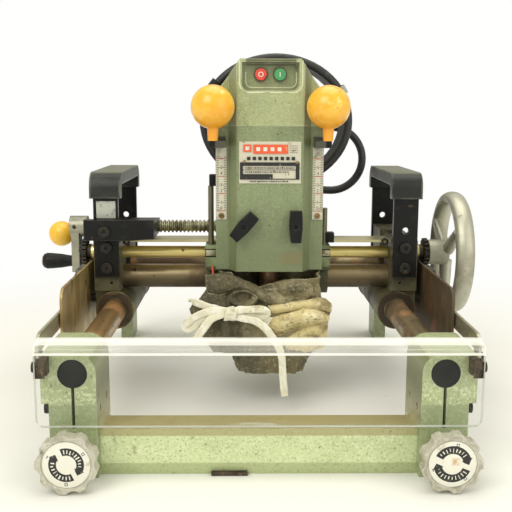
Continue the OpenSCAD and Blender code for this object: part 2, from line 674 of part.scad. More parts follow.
module saddle_bushes() color([0.6, 0.48, 0.28]) at_head() {
    for (s = [-1, 1]) difference() {
        union() {
            x_cyl(cross_bush_r, s > 0 ? ear_half - 32 : -ear_half,
                s > 0 ? ear_half : 32 - ear_half, cross_y, cross_z);
            x_cyl(cross_bush_r, s > 0 ? sleeve_half - 32 : -sleeve_half,
                s > 0 ? sleeve_half : 32 - sleeve_half, rear_cross_y, cross_z);
        }
        for (y = [cross_y, rear_cross_y])
            x_cyl(cross_r + run, -ear_half - 1, ear_half + 1, y, cross_z);
    }
    difference() {
        x_cyl(nut_r, nut_x[0] - 3, nut_x[1] + 2, cross_y, screw_z);
        x_cyl(screw_r + run, nut_x[0] - 4, nut_x[1] + 3, cross_y, screw_z);
    }
}
module guide_columns() color([0.5, 0.5, 0.46]) at_head() {
    both() z_cyl(column_r, base_low, column_top, column_x, column_y);
    for (i = [0, 1])
        z_cyl(rod_r, ear_top - 11.5, rod_tops[i], i == 0 ? -rod_x : rod_x, rod_y);
}

// Motor head: housing, cover, plates and grips
function head_plan() = [[-half_front, head_y], [half_front, head_y], [half_front + 9, shoulder_y],
    [half_w, shoulder_y], [half_w, head_back - 7], [half_w - 7, head_back],
    [7 - half_w, head_back], [-half_w, head_back - 7], [-half_w, shoulder_y],
    [-half_front - 9, shoulder_y]];
module head_housing() color([0.55, 0.64, 0.48]) at_head() difference() {
    union() {
        difference() {
            translate([0, 0, head_bottom]) linear_extrude(seam_z - head_bottom)
                polygon(head_plan());
            z_cyl(motor_r, cavity_low, seam_z + 1, 0, motor_y);
        }
        slab([-motor_r - 1, motor_r + 1], [motor_y - 15, motor_y + 15], [bridge_low, bridge_high]);
    }
    z_cyl(upper_bearing_r + fit, bridge_low - 1, bridge_low + 9, 0, motor_y);
    z_cyl(spindle_r + 1, bridge_low, bridge_high + 1, 0, motor_y);
    z_cyl(lower_bearing_r + fit, cavity_low - 11, cavity_low + 1, 0, motor_y);
    z_cyl(13, head_bottom - 1, cavity_low, 0, motor_y);
    both() {
        z_cyl(column_r + run, head_bottom - 1, seam_z - 5, column_x, column_y);
        y_cyl(lock_shaft_r + run, head_y - 1, head_y + 14, lock_x, lock_z);
    }
}
module head_cover() color([0.58, 0.67, 0.5]) at_head() difference() {
    intersection() {
        translate([0, 0, seam_z]) linear_extrude(top_z - seam_z) polygon(head_plan());
        along_y(head_y - 1, head_back + 1) polygon([[-half_w, seam_z], [half_w, seam_z],
            [half_w - 5, top_z - 31], [half_front - 4, top_z], [4 - half_front, top_z],
            [5 - half_w, top_z - 31]]);
    }
    slab([-half_front + 6, half_front - 6], [head_y - 1, pocket_y], [pocket_low + 8, pocket_high]);
    slab([-half_front + 14, half_front - 14], [head_y - 1, pocket_y], [pocket_low, pocket_low + 9]);
    for (s = [-1, 1])
        y_cyl(8, head_y - 1, pocket_y, s * (half_front - 14), pocket_low + 8);
    slab([12 - half_w, half_w - 12], [pocket_y + 4, head_back - 6], [seam_z - 1, top_z - 39]);
    slab([-half_front + 8, half_front - 8], [pocket_y + 4, head_back - 6],
        [top_z - 40, top_z - 5]);
    for (s = [-1, 1]) y_cyl(3 + run, pocket_y - 1, pocket_y + 5, s * button_x, button_z);
    y_cyl(8 + fit, head_back - 7, head_back + 1, gland[0], gland[1]);
}
module name_plate() color([0.85, 0.83, 0.76]) at_head()
    slab([-35, 35], [head_y - 1, head_y], [bar_height + 163, bar_height + 210]);
module scale_plates() color([0.88, 0.85, 0.76]) at_head() both()
    slab([half_w - 12.5, half_w - 0.5], [shoulder_y - 1.2, shoulder_y],
        [bar_height + 120, bar_height + 203]);
module grip_arms() color([0.2, 0.2, 0.2]) at_head() both() union() {
    slab([half_w - 12, grip_x + 4], [grip_y - 4, shoulder_y], [stem_low - 7.7, stem_low - 0.1]);
    slab([half_w - 12, half_w - 1], [shoulder_y - 5, shoulder_y], [stem_low - 7.7, stem_low + 4]);
    z_cyl(4, stem_low - 7.7, grip_z - 22, grip_x, grip_y);
}
module ball_grips() color([0.95, 0.62, 0.16]) at_head() both() difference() {
    union() {
        translate([grip_x, grip_y, grip_z]) sphere(grip_r);
        translate([grip_x, grip_y, stem_low]) cylinder(r1 = 5.6, r2 = 6.8, h = 20);
    }
    z_cyl(4 + fit, stem_low - 1, grip_z - 21.5, grip_x, grip_y);
}

// Motor parts inside the housing
module stator() color([0.45, 0.44, 0.42]) at_head() difference() {
    z_cyl(motor_r - fit, cavity_low + 25, cavity_low + 85, 0, motor_y);
    z_cyl(motor_r - 10, cavity_low + 24, cavity_low + 86, 0, motor_y);
}
module brush_holders() color([0.3, 0.2, 0.12]) at_head() both()
    slab([13.4, motor_r - 1.2], [motor_y - 6, motor_y + 6], [cavity_low + 99, cavity_low + 111]);
module motor_bearings() color([0.7, 0.7, 0.72]) at_head() {
    difference() {
        z_cyl(lower_bearing_r, cavity_low - 11, cavity_low, 0, motor_y);
        z_cyl(spindle_r + run, cavity_low - 12, cavity_low + 1, 0, motor_y);
    }
    difference() {
        z_cyl(upper_bearing_r, bridge_low, bridge_low + 9, 0, motor_y);
        z_cyl(spindle_r + run, bridge_low - 1, bridge_low + 10, 0, motor_y);
    }
}
module armature() color([0.55, 0.4, 0.25]) at_head() union() {
    z_cyl(spindle_r, head_bottom - 22, bridge_low + 11, 0, motor_y);
    z_cyl(11.5, head_bottom - 23, cavity_low - 11.5, 0, motor_y);
    z_cyl(motor_r - 10.6, cavity_low + 27, cavity_low + 83, 0, motor_y);
    z_cyl(13, cavity_low + 95, cavity_low + 115, 0, motor_y);
}
module fan() color([0.2, 0.2, 0.22]) at_head() difference() {
    union() {
        z_cyl(10, cavity_low + 4, cavity_low + 18, 0, motor_y);
        z_cyl(motor_r - 4, cavity_low + 4, cavity_low + 7, 0, motor_y);
        for (i = [0:7]) translate([0, motor_y, cavity_low + 4]) rotate([0, 0, i * 45])
            translate([9, -1, 0]) cube([motor_r - 15, 2, 14]);
    }
    z_cyl(spindle_r + fit, cavity_low + 3, cavity_low + 19, 0, motor_y);
}
module collet_nut() color([0.5, 0.5, 0.52]) at_head() difference() {
    z_cyl(17, head_bottom - 43, head_bottom - 23, 0, motor_y, 6);
    z_cyl(6 + fit, head_bottom - 44, head_bottom - 22, 0, motor_y);
}
module cutter() color([0.6, 0.6, 0.62]) at_head() union() {
    z_cyl(6, head_bottom - 60, head_bottom - 24, 0, motor_y);
    difference() {
        z_cyl(cutter_d / 2, head_bottom - 106, head_bottom - 58, 0, motor_y);
        for (s = [-1, 1]) slab([s > 0 ? 2 : -cutter_d, s > 0 ? cutter_d : -2],
            [motor_y - (s > 0 ? 0 : cutter_d), motor_y + (s > 0 ? cutter_d : 0)],
            [head_bottom - 107, head_bottom - 66]);
    }
}
module plunge_springs() color([0.5, 0.5, 0.52]) at_head() both() difference() {
    z_cyl(column_r - 0.5, column_top + gap, seam_z - 5 - gap, column_x, column_y);
    z_cyl(column_r - 2.5, column_top, seam_z - 5, column_x, column_y);
}

// Switch, buttons and locking knobs
module switch_box() color([0.75, 0.72, 0.62]) at_head() {
    difference() {
        slab([-22, 22], [pocket_y + 4, pocket_y + 32], [button_z - 12, button_z + 10]);
        for (s = [-1, 1]) y_cyl(3.5, pocket_y + 3, pocket_y + 16, s * button_x, button_z);
    }
    for (s = [-1, 1]) difference() {
        y_cyl(button_r + 1.7, pocket_y - 4.5, pocket_y, s * button_x, button_z);
        y_cyl(button_r + gap, pocket_y - 5, pocket_y + 1, s * button_x, button_z);
    }
}
module push_button(s) union() {
    y_cyl(button_r, pocket_y - 8.5, pocket_y - button_travel - 0.7, s * button_x, button_z);
    y_cyl(3, pocket_y - button_travel - 1, pocket_y + 9, s * button_x, button_z);
}
module stop_button() color([0.8, 0.15, 0.12]) at_head() push_button(-1);
module start_button() color([0.15, 0.5, 0.25]) at_head() push_button(1);
module lock_knob(turn) translate([0, 0, lock_z]) difference() {
    union() {
        y_cyl(7.5, head_y - 13, head_y - gap, 0, 0);
        y_cyl(lock_shaft_r, head_y - 2, head_y + 12, 0, 0);
        rotate([0, turn, 0]) along_y(head_y - 14, head_y - 4)
            polygon([[-5.8, -18], [5.8, -18], [7.5, -2], [7.5, 5], [6.6, 18], [-6.6, 18],
                [-7.5, 5], [-7.5, -2]]);
    }
    y_cyl(3.4, head_y - 15, head_y - 11, 0, 0);
}
module left_lock_knob() color([0.12, 0.12, 0.13]) at_head() translate([-lock_x, 0, 0]) lock_knob(42);
module right_lock_knob() color([0.12, 0.12, 0.13]) at_head() translate([lock_x, 0, 0]) lock_knob(0);

// Soft bag tied round the cutter with a string, open at the top for the spindle
bag_low = bar_height - 63;
bag_front = head_y - 2;
bag_back = column_y - column_r - 5;
bag_outline = [[-57, 61], [60, 61], [62, 32], [73, 24], [72, 4], [66, -20], [60, -38], [44, -63],
    [-36, -63], [-60, -40], [-82, -16], [-90, 6], [-88, 24], [-74, 40]];
module canvas_bag() color([0.45, 0.4, 0.3]) at_head() difference() {
    union() {
        along_y(bag_front, bag_back) translate([0, bar_height]) polygon(bag_outline);
        z_cyl(25, bag_low, head_bottom, 0, motor_y);
    }
    z_cyl(20, bag_low + 8, head_bottom + 1, 0, motor_y);
    translate([0, 0, head_bottom]) slab([-70, 70], [bag_front - 1, head_back], [0, 9]);
}

// Cotton tape round the bag: two loops, two tails and the knot between them
tape_d = 6;
tape_shapes = [
    [[-44, 19], [-66, 22], [-84, 18], [-97, 8], [-101, -3], [-96, -8], [-88, -7], [-80, 0],
        [-66, 7], [-44, 9]],
    [[-44, 18], [-64, 14], [-77, 4], [-88, -13], [-80, -17], [-69, 0], [-60, 6], [-44, 10]],
    [[-45, 19], [-45, 8], [-20, 6], [0, 11], [0, 20], [-20, 23]],
    [[-44, 16], [-44, 8], [-31, 5], [-18, 2], [-10, -3], [-3, -11], [4, -22], [8.5, -33],
        [11, -50], [12, -67], [14, -85], [23, -83], [21, -67], [20, -50], [17.5, -31],
        [12, -18], [5, -7], [-2, 3], [-12, 9], [-27, 13]]];
module bag_string() color([0.88, 0.86, 0.78]) at_head() translate([0, 0, bar_height]) {
    for (i = [0:3]) along_y(bag_front - tape_d + i, bag_front) polygon(tape_shapes[i]);
    slab([-50, -39], [bag_front - tape_d - 1, bag_front], [7, 22]);
}

// Cord: gland, hanger, coil behind the head, and its two free ends
module cord_gland() color([0.12, 0.12, 0.13]) at_head() union() {
    y_cyl(8, head_back - 6, head_back + 1, gland[0], gland[1]);
    y_cyl(12, head_back, head_back + 4, gland[0], gland[1]);
    translate([gland[0], head_back + 3, gland[1]]) rotate([-90, 0, 0])
        cylinder(r1 = 9.5, r2 = 6.5, h = gland_end - head_back - 3);
}
hanger_top = coil_c[1] + coil_b - cord_r - 1;
module cord_hanger() color([0.3, 0.3, 0.3]) at_head() union() {
    slab([0, 23], [head_back, head_back + 4], [top_z - 25, hanger_top]);
    slab([0, 23], [head_back, coil_rear + 12], [hanger_top - 4, hanger_top]);
    slab([0, 23], [coil_rear + 8, coil_rear + 12], [hanger_top - 4, hanger_top + 14]);
}
function unit(v) = v / norm(v);
function tangents(p, first, last) = [for (i = [0:len(p) - 1])
    unit(i == 0 ? first : i == len(p) - 1 ? last : p[i + 1] - p[i - 1])];
function side_of(t, u) = unit(u - (u * t) * t);
function sides_of(t, i, u) = i == len(t) ? [] :
    let (s = side_of(t[i], u)) concat([s], sides_of(t, i + 1, s));
function ring(c, t, s, r, n) = let (b = cross(t, s))
    [for (k = [0:n - 1]) c + r * (cos(k * 360 / n) * s + sin(k * 360 / n) * b)];
module tube(p, r, n, start, first, last) {
    m = len(p);
    t = tangents(p, first, last);
    s = sides_of(t, 0, start);
    points = [for (i = [0:m - 1]) each ring(p[i], t[i], s[i], r, n)];
    faces = concat([[for (k = [0:n - 1]) k]], [[for (k = [n - 1:-1:0]) (m - 1) * n + k]],
        [for (i = [0:m - 2], k = [0:n - 1]) let (a = i * n + k, b = i * n + (k + 1) % n)
            each [[a, a + n, b], [b, a + n, b + n]]]);
    polyhedron(points, faces);
}
// Points on two cubic curves that share the fourth of seven guide points
function cubic(g, k, t) = let (u = 1 - t) u * u * u * g[k] + 3 * u * u * t * g[k + 1]
    + 3 * u * t * t * g[k + 2] + t * t * t * g[k + 3];
function curves(g, n) = concat([for (k = [0, 3], i = [0:n - 1]) cubic(g, k, i / n)], [g[6]]);
function route(p) = [for (q = p) [q[0], q[1], q[2] + bar_height]];
function loop_point(t) = [loop_c[0] + loop_r * sin(t * 270),
    loop_y[0] + (loop_y[1] - loop_y[0]) * t, loop_c[1] - loop_r * cos(t * 270)];
// Direction of the coil where it starts and ends, at the lowest point of a turn
coil_way = [2 * PI * coil_a, coil_step, 0];
tail_path = concat(curves(tail_guides, 5), [for (i = [1:18]) loop_point(i / 18)],
    [[loop_c[0] - loop_r, loop_y[1] + 0.7, loop_c[1] - 7]]);
module cord_ends() color([0.1, 0.1, 0.11]) at_head() {
    tube(route(curves(lead_guides, 9)), cord_r, 8, [1, 0, 0], [0, 1, 0], coil_way);
    tube(route(tail_path), cord_r, 8, [0, 1, 0], coil_way, [0, 0, -1]);
}
function coil_point(turns) = [coil_c[0] + coil_a * sin(turns * 360),
    coil_front + coil_step * turns, coil_c[1] - coil_b * cos(turns * 360)];
coil_path = [for (i = [0:coil_turns * coil_rings]) coil_point(i / coil_rings)];
module cord_coil() color([0.1, 0.1, 0.11]) at_head()
    tube(coil_path, cord_r, coil_sides, [0, 1, 0], coil_way, coil_way);
module cord_plug() color([0.12, 0.12, 0.13]) at_head() {
    e = route(tail_path)[len(tail_path) - 1];
    difference() {
        translate([e[0], e[1], e[2] - plug_length_z]) cylinder(r1 = 14, r2 = 8, h = plug_length_z);
        translate([e[0], e[1], e[2] - plug_length_z - 1]) cylinder(r = 11, h = 1.5);
    }
    for (s = [-1, 1]) slab([e[0] + s * 6.35 - 0.75, e[0] + s * 6.35 + 0.75],
        [e[1] - 3, e[1] + 3], [e[2] - plug_length_z - 17, e[2] - plug_length_z + 0.5]);
}

front_casting();
rear_casting();
guide_bars();
bar_end_plugs();
frame_screws();
side_rails();
gear_racks();
shield_brackets();
left_clamp_knob();
left_clamp_screw();
right_clamp_knob();
right_clamp_screw();
front_shield();
shield_ears();
left_bracket();
right_bracket();
slider_bushes();
cross_bars();
cover_strip();
carry_handles();
handle_grips();
carriage_screws();
side_plates();
screw_bearing();
lock_lever();
feed_shaft();
handwheel();
lead_screw();
crank_arm();
crank_handle();
saddle();
saddle_bushes();
guide_columns();
head_housing();
head_cover();
name_plate();
scale_plates();
grip_arms();
ball_grips();
stator();
brush_holders();
motor_bearings();
switch_box();
cord_gland();
cord_hanger();
canvas_bag();
bag_string();
stop_button();
start_button();
left_lock_knob();
right_lock_knob();
armature();
fan();
collet_nut();
cutter();
plunge_springs();
cord_ends();
cord_coil();
cord_plug();
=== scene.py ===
# Electric router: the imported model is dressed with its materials, cord, bag, string and marks
import math
import random

import bpy
from mathutils import Matrix, Vector, noise


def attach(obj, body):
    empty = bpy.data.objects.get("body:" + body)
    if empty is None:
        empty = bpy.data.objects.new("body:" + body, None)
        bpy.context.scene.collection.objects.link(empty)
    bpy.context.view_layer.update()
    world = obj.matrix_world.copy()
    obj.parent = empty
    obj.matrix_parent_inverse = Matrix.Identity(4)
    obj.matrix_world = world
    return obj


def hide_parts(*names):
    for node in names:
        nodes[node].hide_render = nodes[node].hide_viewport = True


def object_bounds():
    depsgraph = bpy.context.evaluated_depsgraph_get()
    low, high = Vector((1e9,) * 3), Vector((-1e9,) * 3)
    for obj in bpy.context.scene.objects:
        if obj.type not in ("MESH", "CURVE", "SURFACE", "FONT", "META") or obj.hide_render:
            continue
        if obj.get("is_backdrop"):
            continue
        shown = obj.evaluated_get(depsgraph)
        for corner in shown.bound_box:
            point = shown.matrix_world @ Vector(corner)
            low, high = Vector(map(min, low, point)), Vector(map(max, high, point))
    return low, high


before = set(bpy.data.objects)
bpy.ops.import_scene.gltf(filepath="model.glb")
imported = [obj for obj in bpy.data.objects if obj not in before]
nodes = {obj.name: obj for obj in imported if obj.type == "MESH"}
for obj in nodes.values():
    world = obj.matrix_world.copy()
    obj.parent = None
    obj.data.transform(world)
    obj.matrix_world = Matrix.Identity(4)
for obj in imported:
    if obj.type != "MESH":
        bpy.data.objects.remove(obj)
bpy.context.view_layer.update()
scene = bpy.context.scene
barZ = 103
headX = 14.5
bothSides = (("left", -1), ("right", 1))
print("frame loaded")


# millimetres from the front casting's face to metres in the part's frame
def place(x, y, z):
    return Vector((x / 1000, (y - 37.5) / 1000, z / 1000))


def atHead(x, y, rise):
    return place(headX + x, y, barZ + rise)


# the bag and its tape are laid out 2.5 mm to the right of the head's middle
def atBag(x, y, rise):
    return atHead(x + 2.5, y, rise)


def deselect():
    if bpy.context.object and bpy.context.object.mode != "OBJECT":
        bpy.ops.object.mode_set(mode="OBJECT")
    bpy.ops.object.select_all(action="DESELECT")


def pickOnly(obj):
    deselect()
    obj.select_set(True)
    bpy.context.view_layer.objects.active = obj


def settle(obj, name):
    # leaves the finished object at the origin with its place in its mesh
    obj.name = name
    obj.data.name = name
    pickOnly(obj)
    bpy.ops.object.transform_apply(location=True, rotation=True, scale=True)
    return obj


def startEdit(obj):
    pickOnly(obj)
    bpy.ops.object.mode_set(mode="EDIT")
    bpy.ops.mesh.select_all(action="SELECT")


def endEdit():
    bpy.ops.object.mode_set(mode="OBJECT")


def easeEdges(obj, width):
    startEdit(obj)
    bpy.ops.mesh.bevel(offset=width, segments=2, affect="EDGES")
    endEdit()


def pointOutwards(obj):
    startEdit(obj)
    bpy.ops.mesh.normals_make_consistent(inside=False)
    endEdit()


def applyAll(obj):
    pickOnly(obj)
    for m in list(obj.modifiers):
        bpy.ops.object.modifier_apply(modifier=m.name)
    return obj


def smoothByAngle(obj, degrees=35):
    pickOnly(obj)
    bpy.ops.object.shade_smooth_by_angle(angle=math.radians(degrees))


def joinAll(parts, name):
    deselect()
    for p in parts:
        p.select_set(True)
    bpy.context.view_layer.objects.active = parts[0]
    bpy.ops.object.join()
    return settle(bpy.context.object, name)


# camera at the photograph's place
cameraSettings = {"lens": 57.66, "x": -14.5, "y": -738, "z": 339, "pitch": 9.55, "yaw": 0.83,
                  "roll": 0.2}


def makeCamera():
    s = cameraSettings
    data = bpy.data.cameras.new("photoCamera")
    data.lens = s["lens"]
    data.sensor_width = 36
    data.clip_start = 0.01
    cam = bpy.data.objects.new("photoCamera", data)
    scene.collection.objects.link(cam)
    turn = (Matrix.Rotation(math.radians(-s["yaw"]), 4, "Z")
            @ Matrix.Rotation(math.radians(90 - s["pitch"]), 4, "X")
            @ Matrix.Rotation(math.radians(s["roll"]), 4, "Z"))
    cam.matrix_world = Matrix.Translation(place(s["x"], s["y"], s["z"])) @ turn
    scene.camera = cam
    print("camera set")


makeCamera()


# node groups that several materials share
def feed(tree, node, inputs):
    # each input gets a link from another node's output or a plain value
    for key, source in inputs.items():
        if isinstance(source, bpy.types.NodeSocket):
            tree.links.new(source, node.inputs[key])
        else:
            node.inputs[key].default_value = source
    return node


def addNode(tree, kind, inputs=None, operation=None):
    node = tree.nodes.new("ShaderNode" + kind)
    if operation:
        node.operation = operation
    return feed(tree, node, inputs or {})


def timesMask(tree, mask, factor):
    # a mask times another mask or times a number
    return addNode(tree, "Math", {0: mask, 1: factor}, "MULTIPLY").outputs[0]


def objectPlace(tree):
    return addNode(tree, "TexCoord").outputs["Object"]


def newGroup(name, inputs):
    # a group with one output, Mask; returns it with its inputs and its last node
    g = bpy.data.node_groups.new(name, "ShaderNodeTree")
    for label, kind, value in inputs:
        sock = g.interface.new_socket(name=label, in_out="INPUT",
                                      socket_type="NodeSocket" + kind)
        sock.default_value = value
    g.interface.new_socket(name="Mask", in_out="OUTPUT", socket_type="NodeSocketFloat")
    return g, g.nodes.new("NodeGroupInput").outputs, g.nodes.new("NodeGroupOutput")


def makeStainGroup():
    # cloudy patches: 1 inside a patch, 0 outside it
    g, given, end = newGroup("stainMask", [("Scale", "Float", 10.0),
                                           ("Stretch", "Vector", (1, 1, 1)),
                                           ("Seed", "Float", 0.0), ("Low", "Float", 0.5),
                                           ("High", "Float", 0.6)])
    pulled = addNode(g, "VectorMath", {0: objectPlace(g), 1: given["Stretch"]}, "MULTIPLY")
    moved = addNode(g, "VectorMath", {0: pulled.outputs[0], 1: given["Seed"]}, "ADD")
    clouds = addNode(g, "TexNoise", {"Vector": moved.outputs[0], "Scale": given["Scale"],
                                     "Detail": 7, "Roughness": 0.62})
    patch = addNode(g, "MapRange", {"Value": clouds.outputs["Fac"], "From Min": given["Low"],
                                    "From Max": given["High"]})
    patch.interpolation_type = "SMOOTHSTEP"
    feed(g, end, {"Mask": patch.outputs[0]})
    return g


def makeEdgeGroup():
    # worn edges, and in some materials painted edge highlights: 1 on an edge of the form, broken
    # up by noise
    g, given, end = newGroup("edgeMask", [("Radius", "Float", 0.0012),
                                          ("Breakup", "Float", 120.0),
                                          ("Amount", "Float", 0.5)])
    eased = addNode(g, "Bevel", {"Radius": given["Radius"]})
    eased.samples = 4
    flat = addNode(g, "NewGeometry")
    dot = addNode(g, "VectorMath", {0: eased.outputs["Normal"], 1: flat.outputs["Normal"]},
                  "DOT_PRODUCT")
    edge = addNode(g, "MapRange", {"Value": dot.outputs["Value"], "From Min": 0.999,
                                   "From Max": 0.85})
    clouds = addNode(g, "TexNoise", {"Vector": objectPlace(g), "Scale": given["Breakup"],
                                     "Detail": 5})
    patch = addNode(g, "MapRange", {"Value": clouds.outputs["Fac"], "From Min": 0.38,
                                    "From Max": 0.62})
    edgeWearAndLight = timesMask(g, edge.outputs[0], patch.outputs[0])
    feed(g, end, {"Mask": timesMask(g, edgeWearAndLight, given["Amount"])})
    return g


def makeZoneGroup():
    # a box-shaped zone with soft sides: 1 between Low and High on every axis
    g, given, end = newGroup("zoneMask", [("Low", "Vector", (-9, -9, -9)),
                                          ("High", "Vector", (9, 9, 9)),
                                          ("Soft", "Float", 0.001)])
    at, low, high = (addNode(g, "SeparateXYZ", {0: source}).outputs
                     for source in (objectPlace(g), given["Low"], given["High"]))
    last = None
    for axis in range(3):
        for a, b in ((at, low), (high, at)):
            inside = addNode(g, "Math", {0: a[axis], 1: b[axis]}, "SUBTRACT")
            side = addNode(g, "Math", {0: inside.outputs[0], 1: given["Soft"]}, "DIVIDE")
            side.use_clamp = True
            mask = side.outputs[0]
            if last:
                mask = addNode(g, "Math", {0: last, 1: mask}, "MINIMUM").outputs[0]
            last = mask
    feed(g, end, {"Mask": last})
    return g


stainGroup = makeStainGroup()
edgeGroup = makeEdgeGroup()
zoneGroup = makeZoneGroup()


def maskNode(tree, group, **values):
    node = addNode(tree, "Group")
    node.node_tree = group
    return feed(tree, node, values).outputs[0]


def layMask(tree, layer):
    # the mask of one layer: patches, edges that are worn or carry a painted highlight, or a zone
    kind = layer["kind"]
    if kind == "edge":
        mask = maskNode(tree, edgeGroup, Radius=layer["radius"], Breakup=layer["scale"],
                        Amount=layer["amount"])
    elif kind == "stain":
        mask = maskNode(tree, stainGroup, Scale=layer["scale"], Seed=layer["seed"],
                        Low=layer["low"], High=layer["high"],
                        Stretch=layer.get("stretch", (1, 1, 1)))
    else:
        mask = maskNode(tree, zoneGroup, Low=layer["low"], High=layer["high"],
                        Soft=layer["soft"])
    if kind != "edge" and "amount" in layer:
        mask = timesMask(tree, mask, layer["amount"])
    if "within" in layer:
        low, high = layer["within"]
        box = maskNode(tree, zoneGroup, Low=low, High=high, Soft=layer.get("withinSoft", 0.01))
        mask = timesMask(tree, mask, box)
    return mask


def layOver(tree, mask, under, value):
    # a colour or a number over what is there so far, where the mask says so
    mix = addNode(tree, "Mix")
    first, last, out = 2, 3, 0
    if isinstance(value, tuple):
        mix.data_type = "RGBA"
        first, last, out = 6, 7, 2
    return feed(tree, mix, {0: mask, first: under, last: value}).outputs[out]


def layered(name, base, rough, layers=(), metal=0.0, coat=0.0, bump=None, soft=0.0006,
            spec=0.5, setup=None):
    # a Principled material: layers of colour over a base, each with its own mask
    mat = bpy.data.materials.new(name)
    mat.use_nodes = True
    tree = mat.node_tree
    ends = {"colour": (*base, 1), "rough": rough, "metal": metal}
    for layer in layers:
        mask = layMask(tree, layer)
        for key in ends:
            if key in layer:
                value = (*layer[key], 1) if key == "colour" else layer[key]
                ends[key] = layOver(tree, mask, ends[key], value)
    shader = feed(tree, tree.nodes["Principled BSDF"], {
        "Base Color": ends["colour"], "Roughness": ends["rough"], "Metallic": ends["metal"],
        "Coat Weight": coat, "Coat Roughness": 0.25, "Specular IOR Level": spec})
    if soft:
        eased = addNode(tree, "Bevel", {"Radius": soft})
        eased.samples = 4
        feed(tree, shader, {"Normal": eased.outputs["Normal"]})
    if bump:
        scale, strength, distance, stretch = bump
        pulled = addNode(tree, "Mapping", {0: objectPlace(tree), "Scale": stretch})
        grit = addNode(tree, "TexNoise", {"Vector": pulled.outputs[0], "Scale": scale,
                                          "Detail": 6})
        bumpOver(tree, shader, grit.outputs["Fac"], strength, distance)
    if setup:
        setup(tree, shader)
    return mat


def bumpOver(tree, shader, height, strength, distance):
    # bumps on top of the normal that the shader has so far
    bumps = addNode(tree, "Bump", {"Height": height, "Strength": strength,
                                   "Distance": distance})
    was = shader.inputs["Normal"].links
    if was:
        feed(tree, bumps, {"Normal": was[0].from_socket})
    feed(tree, shader, {"Normal": bumps.outputs["Normal"]})


def stain(colour, scale, low, high, seed=0, **more):
    return {"kind": "stain", "colour": colour, "scale": scale, "low": low, "high": high,
            "seed": seed, **more}


# edge colour: real edge wear in most materials, a painted edge highlight in some
def wear(colour, amount=0.7, scale=120, radius=0.0012, **more):
    return {"kind": "edge", "colour": colour, "amount": amount, "scale": scale,
            "radius": radius, **more}


def grain(scale, strength, distance=0.0005, stretch=(1, 1, 1)):
    # the fine bumps of a surface
    return scale, strength, distance, stretch


def zone(colour, low=(-9, -9, -9), high=(9, 9, 9), soft=0.001, **more):
    return {"kind": "zone", "colour": colour, "low": low, "high": high, "soft": soft, **more}


# floor and light
studio = {"floorColour": (0.86, 0.855, 0.84), "floorSize": 6.0, "fadeCentre": (0, 0.1, 0),
          "fadeFrom": 0.42, "fadeTo": 1.1, "paper": (1, 1, 0.985, 1),
          "worldColour": (1, 0.975, 0.84), "worldStrength": 0.62,
          "lampColour": (1, 0.985, 0.90),
          "lamps": [("keyLight", 30, 1.6, (-1.1, -1.5, 1.9), (0, 0.1, 0.15)),
                    ("fillLight", 12, 1.8, (1.5, -1.2, 1.0), (0, 0.1, 0.15)),
                    ("topLight", 22, 1.8, (0.2, 0.5, 2.2), (0, 0.2, 0.1))]}


def fadeFloor(tree):
    # the paper goes over to plain white away from the machine
    s = studio
    far = addNode(tree, "VectorMath", {0: objectPlace(tree), 1: s["fadeCentre"]}, "DISTANCE")
    fade = addNode(tree, "MapRange", {"Value": far.outputs["Value"], "From Min": s["fadeFrom"],
                                      "From Max": s["fadeTo"]})
    fade.interpolation_type = "SMOOTHSTEP"
    glow = addNode(tree, "Emission", {"Color": s["paper"]})
    mix = addNode(tree, "MixShader", {0: fade.outputs[0],
                                      1: tree.nodes["Principled BSDF"].outputs[0],
                                      2: glow.outputs[0]})
    feed(tree, tree.nodes["Material Output"], {"Surface": mix.outputs[0]})


def makeWorld():
    # soft light all round, and plain white where the camera looks past the floor
    s = studio
    world = bpy.data.worlds.new("studioWorld")
    scene.world = world
    world.use_nodes = True
    tree = world.node_tree
    tree.nodes.clear()
    path = addNode(tree, "LightPath").outputs
    seen = addNode(tree, "Math", {0: path["Is Camera Ray"], 1: path["Is Transmission Ray"]},
                   "MAXIMUM")
    light = addNode(tree, "Background", {"Color": (*s["worldColour"], 1),
                                         "Strength": s["worldStrength"]})
    white = addNode(tree, "Background", {"Color": s["paper"], "Strength": 1.0})
    mix = addNode(tree, "MixShader", {0: seen.outputs[0], 1: light.outputs[0],
                                      2: white.outputs[0]})
    addNode(tree, "OutputWorld", {0: mix.outputs[0]})


def makeStudio():
    s = studio
    deselect()
    bpy.ops.mesh.primitive_plane_add(size=s["floorSize"], location=(0, 0.3, 0))
    floor = settle(bpy.context.object, "studioFloor")
    mat = bpy.data.materials.new("paleFloor")
    mat.use_nodes = True
    tree = mat.node_tree
    feed(tree, tree.nodes["Principled BSDF"], {"Base Color": (*s["floorColour"], 1),
                                               "Roughness": 0.9})
    fadeFloor(tree)
    floor.data.materials.append(mat)
    floor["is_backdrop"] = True
    for name, power, size, where, aim in s["lamps"]:
        data = bpy.data.lights.new(name, "AREA")
        data.energy = power
        data.size = size
        data.color = s["lampColour"]
        lamp = bpy.data.objects.new(name, data)
        scene.collection.objects.link(lamp)
        lamp.location = where
        lamp.rotation_euler = (Vector(aim) - Vector(where)).to_track_quat("-Z", "Y").to_euler()
    makeWorld()
    scene.view_settings.view_transform = "Standard"
    print("studio ready")


makeStudio()

